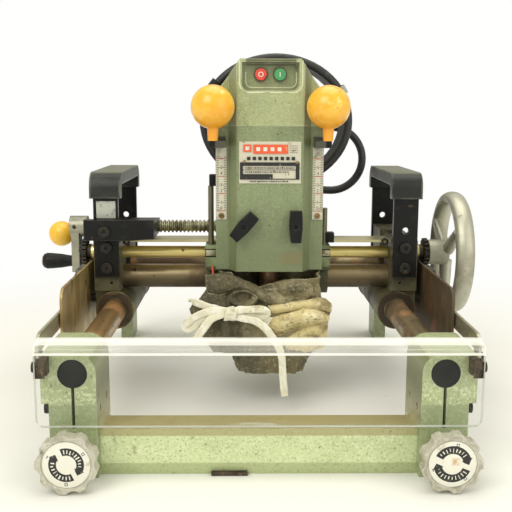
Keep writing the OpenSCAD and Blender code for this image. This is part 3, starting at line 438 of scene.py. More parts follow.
# the cord: gland, lead, coil, tail and plug
cordSettings = {
    "radius": 0.0055, "leadPoints": 16, "tailPoints": 10,
    "coilCentre": (11.5, 232), "coilHalfWidth": 93, "coilHalfHeight": 80, "coilFront": 328,
    "coilStep": 12, "coilTurns": 6, "coilPoints": 60,
    "lead": [(-24, 294, 285), (-24, 329.5, 285), (-47.8, 348.4, 258.3), (-45, 341.7, 224.2),
             (-45, 341.6, 223.5), (-40.3, 326.9, 152), (11.5, 328, 152)],
    "tail": [(11.5, 400, 152), (24.9, 400.3, 152), (39.8, 403.8, 148.9), (52.6, 414.8, 143.9),
             (58.6, 419.9, 141.6), (72.6, 431.7, 134.5), (95, 434, 134.5)],
    "loopCentre": (95, 179), "loopRadius": 44.5, "loopY": (434, 456), "loopTurn": 270,
    "loopPoints": 45,
}


def cubicPoints(guides, count):
    # points on two cubic curves that meet at the fourth guide
    out = []
    for k in (0, 3):
        a, b, c, d = (Vector(g) for g in guides[k:k + 4])
        for i in range(count):
            t = i / count
            u = 1 - t
            out.append(u ** 3 * a + 3 * u * u * t * b + 3 * u * t * t * c + t ** 3 * d)
    return out + [Vector(guides[6])]


def cordRoute():
    s = cordSettings
    cx, cz = s["coilCentre"]
    pts = cubicPoints(s["lead"], s["leadPoints"])[:-1]
    for i in range(s["coilTurns"] * s["coilPoints"] + 1):
        turn = i / s["coilPoints"]
        a = 2 * math.pi * turn
        pts.append(Vector((cx + s["coilHalfWidth"] * math.sin(a),
                           s["coilFront"] + s["coilStep"] * turn,
                           cz - s["coilHalfHeight"] * math.cos(a))))
    pts += cubicPoints(s["tail"], s["tailPoints"])[1:]
    x, z = s["loopCentre"]
    nearY, farY = s["loopY"]
    for i in range(1, s["loopPoints"] + 1):
        part = i / s["loopPoints"]
        a = math.radians(s["loopTurn"]) * part
        pts.append(Vector((x + s["loopRadius"] * math.sin(a), nearY + (farY - nearY) * part,
                           z - s["loopRadius"] * math.cos(a))))
    pts.append(Vector((x - s["loopRadius"], farY + 0.7, z - 7)))
    return [atHead(*p) for p in pts]


def curveThrough(name, points, radius, sides=6):
    data = bpy.data.curves.new(name, "CURVE")
    data.dimensions = "3D"
    data.bevel_depth = radius
    data.bevel_resolution = sides
    data.use_fill_caps = True
    spline = data.splines.new("POLY")
    spline.points.add(len(points) - 1)
    for p, q in zip(spline.points, points):
        p.co = (*q, 1)
        p.radius = 1
    obj = bpy.data.objects.new(name, data)
    scene.collection.objects.link(obj)
    return obj


blackCordMat = layered("blackCord", (0.022, 0.022, 0.023), 0.42,
                       [stain((0.07, 0.07, 0.065), 60, 0.55, 0.75, rough=0.6)],
                       bump=grain(500, 0.15), soft=0)


def makeCord():
    route = cordRoute()
    cord = curveThrough("mainsCord", route, cordSettings["radius"])
    cord.data.materials.append(blackCordMat)
    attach(cord, "head")
    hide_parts("cord_ends", "cord_coil")


makeCord()

# the canvas bag: a gathered tube with folded flaps in front of it
bagSettings = {
    "rise": [(-62, 0, 38, 21), (-50, 0, 42, 23), (-36, 1, 48, 24), (-22, 0, 56, 25),
             (-8, -10, 72, 26), (6, -12, 79, 26), (16, -12, 78, 25), (26, -8, 66, 24),
             (38, -3, 59, 23), (50, -2, 58, 22), (59, -1, 58, 22)],
    "middleY": 218, "corner": 0.62, "backBulge": 12, "bulgeWidth": 20,
    "waves": [(2.2, 11, 0.05), (1.3, 23, 0.09)], "columns": 120, "rows": 60,
    "floorRise": -62.5, "floorRings": 5, "thickness": 0.0012, "slack": (0.0018, 0.00045),
    "foldSlack": (0.0010, 0.0004), "foldAcross": 12, "foldDown": 8,
    "paleFolds": ("hemTop", "hemLobe", "hemLow"),
    "folds": {
        "flap": [
            [(-75, 203, 53), (-59, 203, 54), (-45, 203, 52), (-31, 203, 46), (-16, 203, 40),
             (1, 203, 34), (15, 203, 27), (30, 203, 22), (47, 203, 23)],
            [(-76, 194, 56), (-58, 193, 58), (-45, 192, 56), (-30, 191, 50), (-16, 191, 44),
             (0, 191, 39), (14, 191, 32), (30, 191, 26), (46, 191, 27)],
            [(-76, 189, 47), (-60, 185, 49), (-46, 184, 49), (-32, 183, 46), (-18, 184, 40),
             (-4, 185, 33), (11, 187, 28), (28, 188, 24), (46, 190, 25)],
            [(-74, 191, 38), (-61, 188, 37), (-50, 186, 41), (-35, 186, 43), (-23, 187, 38),
             (-13, 188, 30), (-4, 189, 25), (12, 190, 24), (28, 190, 22)],
            [(-72, 199, 33), (-60, 198, 32), (-49, 197, 36), (-35, 197, 38), (-24, 197, 33),
             (-14, 198, 26), (-5, 198, 22), (11, 198, 20), (28, 198, 19)]],
        "backFold": [
            [(-11, 207, 40), (1, 209, 44), (14, 210, 47), (27, 210, 49), (36, 210, 49),
             (45, 210, 44)],
            [(-12, 198, 40), (1, 199, 45), (14, 200, 49), (26, 200, 50), (37, 201, 50),
             (46, 202, 45)],
            [(-10, 194, 36), (3, 192, 40), (16, 191, 43), (28, 191, 44), (39, 192, 43),
             (48, 196, 39)],
            [(-2, 196, 30), (9, 195, 32), (20, 193, 35), (32, 193, 36), (41, 194, 34),
             (50, 197, 31)],
            [(8, 199, 24), (17, 198, 25), (27, 198, 26), (36, 198, 26), (44, 199, 26),
             (51, 201, 24)]],
        "hemTop": [
            [(-4, 200, 19), (10, 199, 21), (24, 198, 23), (37, 198, 25), (49, 198, 26),
             (60, 199, 27), (69, 200, 22)],
            [(-4, 192, 21), (10, 190, 24), (24, 188, 26), (36, 187, 28), (48, 187, 30),
             (59, 188, 31), (69, 191, 24)],
            [(-2, 188, 18), (11, 185, 20), (23, 183, 22), (36, 182, 25), (49, 182, 26),
             (60, 183, 26), (70, 188, 20)],
            [(1, 190, 13), (12, 187, 15), (24, 185, 17), (36, 184, 20), (48, 184, 20),
             (59, 185, 19), (70, 190, 14)],
            [(2, 198, 10), (14, 197, 11), (25, 196, 12), (37, 196, 15), (49, 196, 15),
             (60, 197, 14), (70, 199, 11)]],
        "hemLobe": [
            [(-6, 198, 2), (4, 197, 6), (16, 196, 10), (28, 196, 13), (39, 196, 16),
             (52, 196, 15), (67, 198, 7)],
            [(-6, 190, 5), (4, 188, 8), (16, 186, 12), (27, 185, 16), (38, 185, 19),
             (52, 186, 18), (67, 191, 9)],
            [(-4, 187, -2), (6, 183, 1), (18, 180, 7), (29, 179, 11), (40, 179, 12),
             (53, 181, 11), (67, 188, 6)],
            [(0, 189, -11), (9, 186, -8), (19, 183, -3), (30, 182, 2), (43, 182, 5),
             (55, 183, 6), (66, 189, 3)],
            [(5, 198, -19), (13, 196, -18), (22, 195, -14), (32, 194, -8), (45, 194, -4),
             (56, 195, -2), (66, 198, -2)]],
        "hemLow": [
            [(14, 204, -20), (24, 203, -15), (34, 202, -8), (46, 202, -5), (57, 202, -3),
             (66, 204, -2)],
            [(13, 196, -19), (23, 194, -13), (34, 193, -7), (45, 192, -3), (56, 193, -2),
             (67, 197, -1)],
            [(15, 193, -24), (25, 190, -20), (36, 189, -14), (46, 189, -12), (56, 190, -11),
             (66, 196, -12)],
            [(19, 196, -33), (29, 193, -32), (38, 192, -31), (48, 192, -30), (56, 194, -28),
             (64, 199, -27)],
            [(22, 203, -40), (31, 202, -40), (39, 202, -39), (48, 202, -38), (56, 203, -35),
             (62, 206, -34)]],
        "leftPanel": [
            [(-75, 202, 48), (-69, 201, 47), (-62, 200, 45), (-55, 200, 42), (-48, 200, 37)],
            [(-76, 194, 40), (-70, 192, 38), (-63, 192, 37), (-56, 193, 35), (-49, 195, 31)],
            [(-84, 192, 29), (-76, 189, 28), (-67, 189, 27), (-57, 190, 26), (-48, 192, 23)],
            [(-90, 192, 22), (-80, 188, 20), (-70, 187, 19), (-60, 188, 18), (-47, 190, 16)],
            [(-90, 194, 12), (-81, 190, 10), (-70, 189, 9), (-60, 190, 9), (-47, 192, 9)],
            [(-88, 200, 0), (-80, 197, -1), (-69, 196, -1), (-59, 196, 0), (-47, 197, 2)]],
        "pleats": [
            [(-83, 196, 8), (-73, 194, 11), (-62, 194, 12), (-52, 194, 13), (-41, 194, 13),
             (-31, 194, 12), (-20, 194, 9), (-8, 195, 7), (1, 197, 3)],
            [(-84, 190, 2), (-74, 186, 5), (-63, 190, 6), (-53, 185, 7), (-41, 190, 6),
             (-30, 185, 7), (-18, 189, 5), (-8, 188, 2), (3, 192, -2)],
            [(-83, 190, -9), (-74, 184, -6), (-64, 191, -7), (-54, 183, -6), (-42, 191, -8),
             (-30, 183, -6), (-17, 190, -9), (-5, 187, -10), (7, 193, -14)],
            [(-76, 193, -22), (-68, 187, -20), (-61, 193, -22), (-52, 186, -21),
             (-41, 193, -23), (-30, 186, -21), (-17, 192, -23), (-5, 190, -23),
             (8, 196, -27)],
            [(-68, 199, -36), (-61, 194, -35), (-54, 198, -38), (-46, 192, -37),
             (-38, 198, -39), (-28, 192, -37), (-16, 197, -39), (-6, 196, -38),
             (5, 201, -40)]],
        "mouth": [
            [(x + wide * math.cos(math.radians(a)), y, z + tall * math.sin(math.radians(a)))
             for a in range(0, 361, 30)]
            for x, y, z, wide, tall in ((-33, 197, 31, 17, 11), (-33, 189, 31, 17, 10),
                                        (-33, 187, 31, 14, 8.5), (-33, 192, 32, 11, 6),
                                        (-32, 206, 33, 9, 5))],
    },
}


def rounded(v, power):
    # raises the size of v to a power and keeps its sign, to round off a box
    return math.copysign(abs(v) ** power, v)


def smoothRow(points, count):
    # evenly counted points on a curve that passes through the given ones
    pts = [Vector(q) for q in points]
    ext = [2 * pts[0] - pts[1]] + pts + [2 * pts[-1] - pts[-2]]
    out = []
    for i in range(count):
        t = i / (count - 1) * (len(pts) - 1)
        k = min(int(t), len(pts) - 2)
        u = t - k
        a, b, c, d = ext[k:k + 4]
        out.append(0.5 * (2 * b + (c - a) * u + (2 * a - 5 * b + 4 * c - d) * u * u
                          + (3 * b - a - 3 * c + d) * u ** 3))
    return out


def gridObject(name, rows, closed=False):
    # a quad mesh over rows of points, with a weave map in metres
    n = len(rows[0])
    mesh = bpy.data.meshes.new(name)
    wrap = n if closed else n - 1
    faces = [(r * n + c, r * n + (c + 1) % n, (r + 1) * n + (c + 1) % n, (r + 1) * n + c)
             for r in range(len(rows) - 1) for c in range(wrap)]
    mesh.from_pydata([tuple(q) for row in rows for q in row], [], faces)
    uv = mesh.uv_layers.new(name="weave")
    along = sum((b - a).length for a, b in zip(rows[0], rows[0][1:])) / (n - 1)
    across = sum((b[n // 2] - a[n // 2]).length for a, b in zip(rows, rows[1:])) / len(rows)
    for face in mesh.polygons:
        for k, loop in enumerate(face.loop_indices):
            v = mesh.loops[loop].vertex_index
            c, r = v % n, v // n
            if closed and k in (1, 2) and c == 0:
                c = n
            uv.data[loop].uv = (c * along, r * across)
    obj = bpy.data.objects.new(name, mesh)
    scene.collection.objects.link(obj)
    return obj


# how fine the dents, the creases and the puckers of cloth are
crumpleSettings = {"dents": 55, "creases": 110, "puckers": 340}


def crumple(obj, coarse, fine, seed):
    # pushes each point along its normal: slack dents, sharp creases and a fine pucker
    s = crumpleSettings
    mesh = obj.data
    mesh.update()
    shift = Vector((seed * 3.1, seed * 1.7, seed * 2.3))
    moved = []
    for v in mesh.vertices:
        dent = noise.noise(v.co * s["dents"] + shift)
        crease = 1 - abs(noise.noise(v.co * s["creases"] + shift * 2)) * 3
        pucker = noise.noise(v.co * s["puckers"] + shift)
        moved.append(v.co + v.normal * (coarse * dent + coarse * 0.6 * max(crease, 0) ** 2
                                        + fine * pucker))
    for v, co in zip(mesh.vertices, moved):
        v.co = co


def bagRing(rise, middle, half, deep):
    # one level of the bag: a rounded box that bulges at the back round the spindle
    s = bagSettings
    out = []
    for i in range(s["columns"]):
        a = 2 * math.pi * i / s["columns"]
        ca, sa = math.cos(a), math.sin(a)
        x = half * rounded(ca, s["corner"])
        y = deep * rounded(sa, s["corner"])
        if sa > 0:
            y += s["backBulge"] * math.exp(-((x + middle) / s["bulgeWidth"]) ** 4)
        fold = sum(size * math.sin(count * a + rise * twist) for size, count, twist in s["waves"])
        lean = 1 - fold / max(half, 1) * (0.9 if sa < 0.3 else 0.25)
        drop = 0
        if sa < 0 and rise > 20:
            at = middle + x
            dip = max(0, 1 - abs(at + 14) / 34) + 0.45 * max(0, min(1, (at + 5) / 20))
            drop = min(dip, 1.1) * 17 * min(1, -sa * 2.5) * (rise - 20) / 39
        out.append(atBag(middle + x * lean, s["middleY"] + y * lean, rise - drop))
    return out


def weaveSetup(tree, shader):
    # threads from the weave map, on top of the bumps that are there
    uv = addNode(tree, "UVMap")
    uv.uv_map = "weave"
    best = addNode(tree, "Math", operation="MAXIMUM")
    for k, way in enumerate(("X", "Y")):
        wave = addNode(tree, "TexWave", {"Vector": uv.outputs[0], "Scale": 240,
                                         "Distortion": 0.6})
        wave.bands_direction = way
        feed(tree, best, {k: wave.outputs["Fac"]})
    bumpOver(tree, shader, best.outputs[0], 0.55, 0.0003)


canvasMat = layered(
    "waxedCanvas", (0.18, 0.152, 0.075), 0.85,
    [stain((0.34, 0.295, 0.17), 16, 0.47, 0.60, 4),
     stain((0.085, 0.075, 0.045), 20, 0.48, 0.62, 9, stretch=(1, 1, 0.6)),
     stain((0.42, 0.37, 0.23), 260, 0.52, 0.64, 6, amount=0.6),
     stain((0.05, 0.045, 0.03), 130, 0.55, 0.66, 2, amount=0.75),
     zone((0.075, 0.068, 0.042), high=(0.03, 1, 1), soft=0.05, amount=0.55),
     # pale fold edges: rubbed wear and painted highlight on the crests
     wear((0.62, 0.56, 0.37), 0.9, 150, 0.0018)],
    bump=grain(420, 0.3, 0.0004), soft=0, setup=weaveSetup)
canvasPaleMat = layered(
    "waxedCanvasPale", (0.72, 0.61, 0.32), 0.85,
    [stain((0.92, 0.82, 0.54), 24, 0.45, 0.58, 6),
     stain((0.30, 0.24, 0.11), 30, 0.55, 0.68, 3, stretch=(0.6, 1, 1)),
     stain((0.30, 0.24, 0.12), 240, 0.54, 0.64, 11, amount=0.7),
     stain((0.14, 0.11, 0.06), 110, 0.60, 0.69, 8, amount=0.75),
     # pale fold edges: rubbed wear and painted highlight on the crests
     wear((0.95, 0.90, 0.68), 0.9, 150, 0.0018)],
    bump=grain(420, 0.3, 0.0004), soft=0, setup=weaveSetup)


def thicken(obj, depth):
    m = obj.modifiers.new("cloth", "SOLIDIFY")
    m.thickness = depth
    m.offset = 0
    return applyAll(obj)


def makeBag():
    s = bagSettings
    levels = smoothRow([(r[0], r[1], r[2]) for r in s["rise"]], s["rows"])
    deeps = smoothRow([(r[3], 0, 0) for r in s["rise"]], s["rows"])
    rings = [bagRing(*v, d[0]) for v, d in zip(levels, deeps)]
    middle = atBag(0, s["middleY"] + 2, s["floorRise"])
    floorRings = []
    for k in range(s["floorRings"]):
        keep = max(k / s["floorRings"], 0.02)
        floorRings.append([middle + (q - middle) * keep for q in rings[0]])
    bag = gridObject("dustBag", floorRings + rings, closed=True)
    crumple(bag, *s["slack"], 3)
    thicken(bag, s["thickness"])
    bag.data.materials.append(canvasMat)
    smoothByAngle(bag, 60)
    folds = []
    for k, (name, rows) in enumerate(s["folds"].items()):
        wide = s["foldAcross"] * (len(rows[0]) - 1) + 1
        tall = s["foldDown"] * (len(rows) - 1) + 1
        grid = [smoothRow(row, wide) for row in rows]
        cols = [smoothRow([g[i] for g in grid], tall) for i in range(wide)]
        turned = [[atBag(*col[j]) for col in cols] for j in range(tall)]
        piece = gridObject(name, turned)
        crumple(piece, *s["foldSlack"], k + 7)
        thicken(piece, s["thickness"])
        pale = name in s["paleFolds"]
        piece.data.materials.append(canvasPaleMat if pale else canvasMat)
        smoothByAngle(piece, 60)
        folds.append(piece)
    fold = joinAll(folds, "bagFolds")
    for piece in (bag, fold):
        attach(piece, "head")
        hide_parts("canvas_bag")
    return bag, fold


tapeSettings = {
    "width": 0.0088, "thick": 0.0021,
    "knots": (-49.5, -45), "knotY": 181.5, "knotRise": 14, "knotDeep": 4.6, "knotTall": 7.2,
    "runs": {
        "leftOuter": [(-46, 183, 16), (-57, 180, 18), (-68, 178, 18), (-80, 177, 15),
                      (-90, 177, 10), (-98, 178, 3), (-100, 179, -2), (-96, 180, -4),
                      (-89, 180, -1), (-82, 180, 6), (-73, 180, 12), (-61, 181, 14),
                      (-47, 183, 14)],
        "leftTail": [(-47, 182, 13), (-58, 179, 13), (-69, 177, 9), (-76, 176, 1),
                     (-81, 175, -6), (-87, 175, -15)],
        "rightLoop": [(-48, 183, 15), (-36, 179, 19), (-23, 177, 20), (-11, 177, 20),
                      (-5, 179, 15), (-11, 181, 11), (-23, 182, 10), (-35, 182, 10),
                      (-47, 183, 11)],
        "rightTail": [(-46, 183, 11), (-32, 179, 9), (-18, 176, 6), (-9, 175, 0),
                      (-2, 174, -8), (4, 174, -17), (9, 174, -26), (12, 175, -37),
                      (13, 176, -51), (14, 177, -67), (16, 178, -84)],
        "wrapLeft": [(-47, 184, 14), (-60, 184, 18), (-74, 184, 22), (-85, 187, 25),
                     (-92, 195, 25), (-93, 206, 24)],
        "wrapRight": [(-47, 184, 13), (-31, 182, 8), (-16, 184, 6), (-4, 186, 4),
                      (8, 192, 3)],
    },
}


def tapeRun(name, points, side=None, seed=0):
    # a flat woven tape with a ribbed face, swept along its points
    s = tapeSettings
    way = smoothRow(points, 6 * (len(points) - 1) + 1)
    way = [atBag(*q) for q in way]
    outline = []
    for k in range(20):
        a = 2 * math.pi * k / 20
        u = 0.5 * s["width"] * rounded(math.cos(a), 0.75)
        rib = 1 + 0.18 * math.cos(6 * math.pi * u / s["width"])
        outline.append((u, 0.5 * s["thick"] * rib * math.sin(a)))
    rows = []
    for i, q in enumerate(way):
        t = (way[min(i + 1, len(way) - 1)] - way[max(i - 1, 0)]).normalized()
        across = (side or t.cross(Vector((0, -1, 0)))).normalized()
        roll = 0.35 * noise.noise(q * 60 + Vector((seed, 0, 0)))
        across = Matrix.Rotation(roll, 3, t) @ across
        up = across.cross(t).normalized()
        squeeze = 1 + 0.14 * noise.noise(q * 120 + Vector((0, seed, 0)))
        rows.append([q + across * u * squeeze + up * v for u, v in outline])
    obj = gridObject(name, rows, closed=True)
    startEdit(obj)
    bpy.ops.mesh.region_to_loop()
    bpy.ops.mesh.edge_face_add()
    endEdit()
    pointOutwards(obj)
    crumple(obj, 0.0003, 0.00025, seed)
    smoothByAngle(obj, 60)
    return obj


tapeMat = layered("cottonTape", (0.84, 0.80, 0.64), 0.9,
                  [stain((0.58, 0.53, 0.36), 60, 0.52, 0.68, 5),
                   stain((0.94, 0.92, 0.82), 90, 0.48, 0.6, 12),
                   stain((0.25, 0.2, 0.12), 200, 0.66, 0.72, 3)],
                  bump=grain(900, 0.4, 0.0004), soft=0)


def makeTape():
    s = tapeSettings
    parts = [tapeRun(name, points, seed=k + 2)
             for k, (name, points) in enumerate(s["runs"].items())]
    for k, x in enumerate(s["knots"]):
        loop = [(x + 1.5 * math.sin(a), s["knotY"] - s["knotDeep"] * math.cos(a),
                 s["knotRise"] + s["knotTall"] * math.sin(a))
                for a in [2 * math.pi * j / 10 for j in range(11)]]
        parts.append(tapeRun("knot" + str(k), loop, side=Vector((1, 0, 0.25 - 0.4 * k)),
                             seed=20 + k))
    tape = joinAll(parts, "tapeBow")
    tape.data.materials.clear()
    tape.data.materials.append(tapeMat)
    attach(tape, "head")
    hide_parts("bag_string")
    print("bag and tape made")


bagObject, foldObject = makeBag()
makeTape()

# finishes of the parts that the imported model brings
leftHalf = ((-1, -1, -1), (0, 1, 1))
rightHalf = ((0, -1, -1), (1, 1, 1))
gripTop = max((nodes["handle_grips"].matrix_world @ v.co).z
              for v in nodes["handle_grips"].data.vertices)
chamferShade = [zone((0.16, 0.185, 0.09), low=(x, 0.1535, -1), high=(x + 0.013, 0.171, 1),
                     soft=0.0012, amount=0.55)
                for x in (-0.0345, 0.0505)]
materials = {}


def addFinish(name, *rest, **more):
    materials[name] = layered(name, *rest, **more)


addFinish(
    "castingPaint", (0.40, 0.46, 0.255), 0.4,
    [stain((0.31, 0.36, 0.19), 14, 0.45, 0.7, 3),
     # painted light: the beam's front face lighter, as if lit from the front
     zone((0.60, 0.68, 0.38), low=(-0.16, -1, -0.01), high=(0.16, 0.01, 0.0475)),
     stain((0.48, 0.56, 0.29), 20, 0.5, 0.66, 8, amount=0.6),
     stain((0.70, 0.76, 0.50), 60, 0.55, 0.64, 7, amount=0.6),
     stain((0.27, 0.25, 0.11), 55, 0.60, 0.69, 11, stretch=(1, 1, 0.45), amount=0.7),
     stain((0.16, 0.16, 0.08), 150, 0.62, 0.68, 5, rough=0.7, amount=0.8),
     stain((0.74, 0.80, 0.52), 330, 0.50, 0.60, 23, amount=0.5),
     stain((0.22, 0.25, 0.12), 420, 0.53, 0.64, 19, amount=0.6),
     zone((0.38, 0.315, 0.15), low=(-0.16, -1, 0.0472), high=(0.16, 1, 0.0495), soft=0.0006,
          amount=0.85),
     stain((0.20, 0.16, 0.07), 90, 0.52, 0.66, 31, amount=0.6,
           within=((-0.17, -0.03, 0.0468), (0.17, 0.01, 0.05)), withinSoft=0.0004),
     zone((0.36, 0.41, 0.20), low=(-0.16, -1, -0.01), high=(0.16, 1, 0.0135),
          amount=0.6),
     # painted shade on the front casting's middle above the beam: olive-brown low down, nearly
     # black higher up, seen on the bosses' inner sides
     zone((0.33, 0.28, 0.12), low=(-0.16, -0.0372, 0.04), high=(0.16, 0.05, 0.2), amount=0.7),
     zone((0.10, 0.115, 0.05), low=(-1, -1, 0.050), soft=0.035, amount=0.8,
          within=((-0.16, -0.0372, 0), (0.16, 0.05, 1)), withinSoft=0.001),
     # painted shadow: the bosses' front faces darker in their lower part, behind the clear shield
     *(zone((0.25, 0.30, 0.16), low=(x, -1, -0.01), high=(x + 0.05, -0.03, 0.0735), soft=0.002,
            amount=0.7)
       for x in (-0.2, 0.15)),
     # painted shade: the rear casting darker towards the back
     zone((0.17, 0.19, 0.10), low=(-1, 0.40, -1), soft=0.05, amount=0.65),
     zone((0.30, 0.34, 0.17), low=(-1, -1, 0.082), high=(1, 1, 0.2), soft=0.03, amount=0.5),
     wear((0.72, 0.74, 0.56), 0.75, 90)],
    bump=grain(220, 0.25, 0.0004), soft=0.0012, coat=0.15)
addFinish(
    "headPaint", (0.245, 0.295, 0.15), 0.4,
    [stain((0.17, 0.205, 0.11), 12, 0.45, 0.7, 3),
     stain((0.31, 0.36, 0.22), 30, 0.52, 0.7, 9, amount=0.5),
     stain((0.11, 0.075, 0.03), 40, 0.62, 0.75, 21, stretch=(1, 1, 0.3), amount=0.5),
     stain((0.36, 0.42, 0.24), 420, 0.5, 0.62, 13, amount=0.5),
     stain((0.15, 0.18, 0.085), 300, 0.54, 0.66, 17, amount=0.5),
     stain((0.33, 0.20, 0.07), 80, 0.40, 0.58, 2, amount=0.8, withinSoft=0.006,
           within=((0.024, -1, 0.170), (0.056, 1, 0.190))),
     stain((0.09, 0.08, 0.05), 170, 0.66, 0.7, 5, rough=0.7),
     # painted shade: the head darker towards its bottom
     zone((0.145, 0.175, 0.085), low=(-1, -1, 0.1), high=(1, 1, 0.235), soft=0.05, amount=0.65),
     *chamferShade,
     wear((0.45, 0.47, 0.36), 0.6, 90)],
    bump=grain(380, 0.4, 0.0004), soft=0.0014, coat=0.15)
addFinish(
    "coverPaint", (0.39, 0.43, 0.22), 0.4,
    [stain((0.28, 0.32, 0.155), 12, 0.45, 0.7, 5),
     stain((0.40, 0.44, 0.27), 30, 0.52, 0.7, 2, amount=0.5),
     stain((0.54, 0.59, 0.36), 420, 0.5, 0.62, 13, amount=0.5),
     stain((0.24, 0.27, 0.13), 300, 0.54, 0.66, 17, amount=0.5),
     stain((0.11, 0.075, 0.03), 60, 0.64, 0.75, 8, amount=0.5),
     stain((0.10, 0.09, 0.05), 170, 0.66, 0.7, 5, rough=0.7),
     *chamferShade,
     # painted shade in the buttons' recess: a darker floor, darker under its top edge and at its
     # right wall, and a near-black band under the top wall
     zone((0.27, 0.295, 0.155), low=(-0.0195, 0.1548, 0.36), high=(0.0485, 0.1672, 0.4015),
          soft=0.0012, amount=0.8),
     zone((0.10, 0.105, 0.045), low=(-0.0195, 0.1548, 0.382), high=(0.0485, 0.1672, 0.41),
          soft=0.014, amount=0.75),
     zone((0.10, 0.11, 0.05), low=(0.040, 0.1548, 0.36), high=(0.06, 0.1672, 0.41), soft=0.004,
          amount=0.6),
     zone((0.06, 0.06, 0.025), low=(-0.0135, 0.15, 0.3965), high=(0.0435, 0.1672, 0.41),
          amount=0.85),
     # painted highlight: pale lines along the cover's edges and the recess's rim
     wear((0.70, 0.73, 0.50), 0.9, 30, 0.0025)],
    bump=grain(380, 0.4, 0.0004), soft=0.0014, coat=0.15)
addFinish(
    "rustyBar", (0.33, 0.26, 0.15), 0.34,
    [stain((0.15, 0.095, 0.05), 13, 0.42, 0.6, 2, rough=0.7, metal=0.3),
     zone((0.70, 0.36, 0.11), low=(-0.19, -1, 0.08), high=(-0.155, 0.22, 0.125), soft=0.02,
          amount=0.85),
     stain((0.52, 0.27, 0.11), 21, 0.54, 0.66, 6, rough=0.55, metal=0.4, amount=0.8),
     stain((0.80, 0.76, 0.60), 17, 0.58, 0.70, 14, stretch=(0.35, 1, 1), rough=0.2,
           metal=1.0),
     stain((0.05, 0.035, 0.02), 90, 0.62, 0.7, 4),
     # painted shade: the cross bars darker on their lower half
     *(zone((0.05, 0.038, 0.025), low=(x, 0.2, 0.1), high=(x + 0.13, 0.45, 0.146), soft=0.012,
            amount=0.7, metal=0.5)
       for x in (-0.175, 0.045))],
    metal=0.8, bump=grain(240, 0.3, 0.0003))
addFinish("blackPlug", (0.010, 0.011, 0.0105), 0.4,
          [stain((0.024, 0.024, 0.022), 60, 0.5, 0.7, 2, rough=0.6)],
          bump=grain(300, 0.1), spec=0.2)
addFinish("darkBolt", (0.030, 0.029, 0.026), 0.42,
          [stain((0.07, 0.05, 0.032), 120, 0.55, 0.68, 8, rough=0.7),
           wear((0.3, 0.29, 0.26), 0.6, 200, 0.0008, rough=0.3)],
          metal=0.5, bump=grain(500, 0.2), spec=0.3)
addFinish("bareSheet", (0.52, 0.50, 0.37), 0.33,
          [stain((0.30, 0.27, 0.19), 18, 0.5, 0.68, 3, stretch=(1, 0.3, 1)),
           stain((0.20, 0.11, 0.045), 60, 0.6, 0.68, 9, rough=0.7, metal=0.2)],
          metal=0.75, bump=grain(200, 0.15))
addFinish("greasySteel", (0.10, 0.095, 0.08), 0.35,
          [stain((0.04, 0.035, 0.028), 50, 0.45, 0.6, 2, rough=0.5),
           wear((0.42, 0.4, 0.35), 0.8, 150, 0.0008)], metal=0.9,
          bump=grain(400, 0.2))
addFinish("brownSteel", (0.09, 0.065, 0.042), 0.55,
          [stain((0.045, 0.034, 0.024), 70, 0.45, 0.6, 2),
           stain((0.19, 0.125, 0.07), 140, 0.56, 0.66, 6)],
          metal=0.4, bump=grain(300, 0.3))
addFinish(
    "knobPlastic", (0.50, 0.48, 0.39), 0.36,
    [stain((0.33, 0.31, 0.23), 30, 0.46, 0.66, 4),
     stain((0.10, 0.085, 0.06), 60, 0.57, 0.68, 8, amount=0.8, rough=0.7),
     stain((0.70, 0.68, 0.58), 300, 0.52, 0.64, 5, amount=0.5),
     # near-white edges: worn plastic and painted highlight
     wear((0.92, 0.91, 0.84), 0.9, 60, 0.0022)],
    bump=grain(240, 0.2), soft=0.0016)
addFinish(
    "oliveCasting", (0.105, 0.097, 0.048), 0.5,
    [stain((0.05, 0.042, 0.025), 16, 0.42, 0.62, 3, rough=0.65),
     stain((0.20, 0.12, 0.05), 24, 0.54, 0.68, 9, stretch=(1, 1, 0.35), amount=0.75),
     stain((0.21, 0.215, 0.12), 33, 0.56, 0.66, 12, amount=0.7),
     wear((0.34, 0.32, 0.22), 0.7, 90)],
    bump=grain(200, 0.3), soft=0.001)
addFinish("rustRing", (0.27, 0.19, 0.085), 0.5,
          [stain((0.10, 0.07, 0.035), 30, 0.48, 0.62, 4),
           stain((0.34, 0.31, 0.16), 26, 0.56, 0.68, 8, amount=0.7),
           stain((0.38, 0.20, 0.08), 60, 0.58, 0.68, 15, amount=0.6),
           zone((0.075, 0.048, 0.026), low=(0, -1, -1), amount=0.85),
           # painted shadow: a dark soft square round each bar where it passes through the ring
           *(zone((0.035, 0.025, 0.015), low=(x - 0.026, -1, 0.077), high=(x + 0.026, 1, 0.129),
                  soft=0.007, amount=0.85) for x in (-0.175, 0.175)),
           wear((0.62, 0.54, 0.34), 0.8, 60, 0.002)],
          metal=0.2, bump=grain(260, 0.25))
addFinish("paleStrip", (0.62, 0.56, 0.32), 0.33,
          [stain((0.2, 0.17, 0.09), 26, 0.5, 0.68, 6, stretch=(0.3, 1, 1))],
          metal=0.7, bump=grain(300, 0.15))
addFinish(
    "blackEnamel", (0.009, 0.009, 0.009), 0.34,
    [stain((0.026, 0.025, 0.021), 30, 0.52, 0.7, 3, rough=0.55),
     stain((0.08, 0.05, 0.028), 110, 0.65, 0.7, 7, rough=0.7),
     zone((0.10, 0.10, 0.075), low=(-0.0475, 0.13, 0.29), high=(0.0765, 0.17, 0.33), amount=0.8),
     wear((0.20, 0.19, 0.17), 0.8, 120)],
    bump=grain(260, 0.15), spec=0.22)
addFinish(
    "blackGrip", (0.016, 0.017, 0.017), 0.36,
    [stain((0.036, 0.038, 0.034), 22, 0.5, 0.72, 3, rough=0.5),
     # painted light: the grips' top faces lighter; the pale edges below are painted highlight as
     # well as wear
     zone((0.15, 0.15, 0.10), low=(-1, -1, gripTop - 0.002), soft=0.0015, amount=0.85),
     wear((0.42, 0.42, 0.32), 0.8, 30, 0.004)],
    bump=grain(900, 0.12), soft=0.003, spec=0.35)
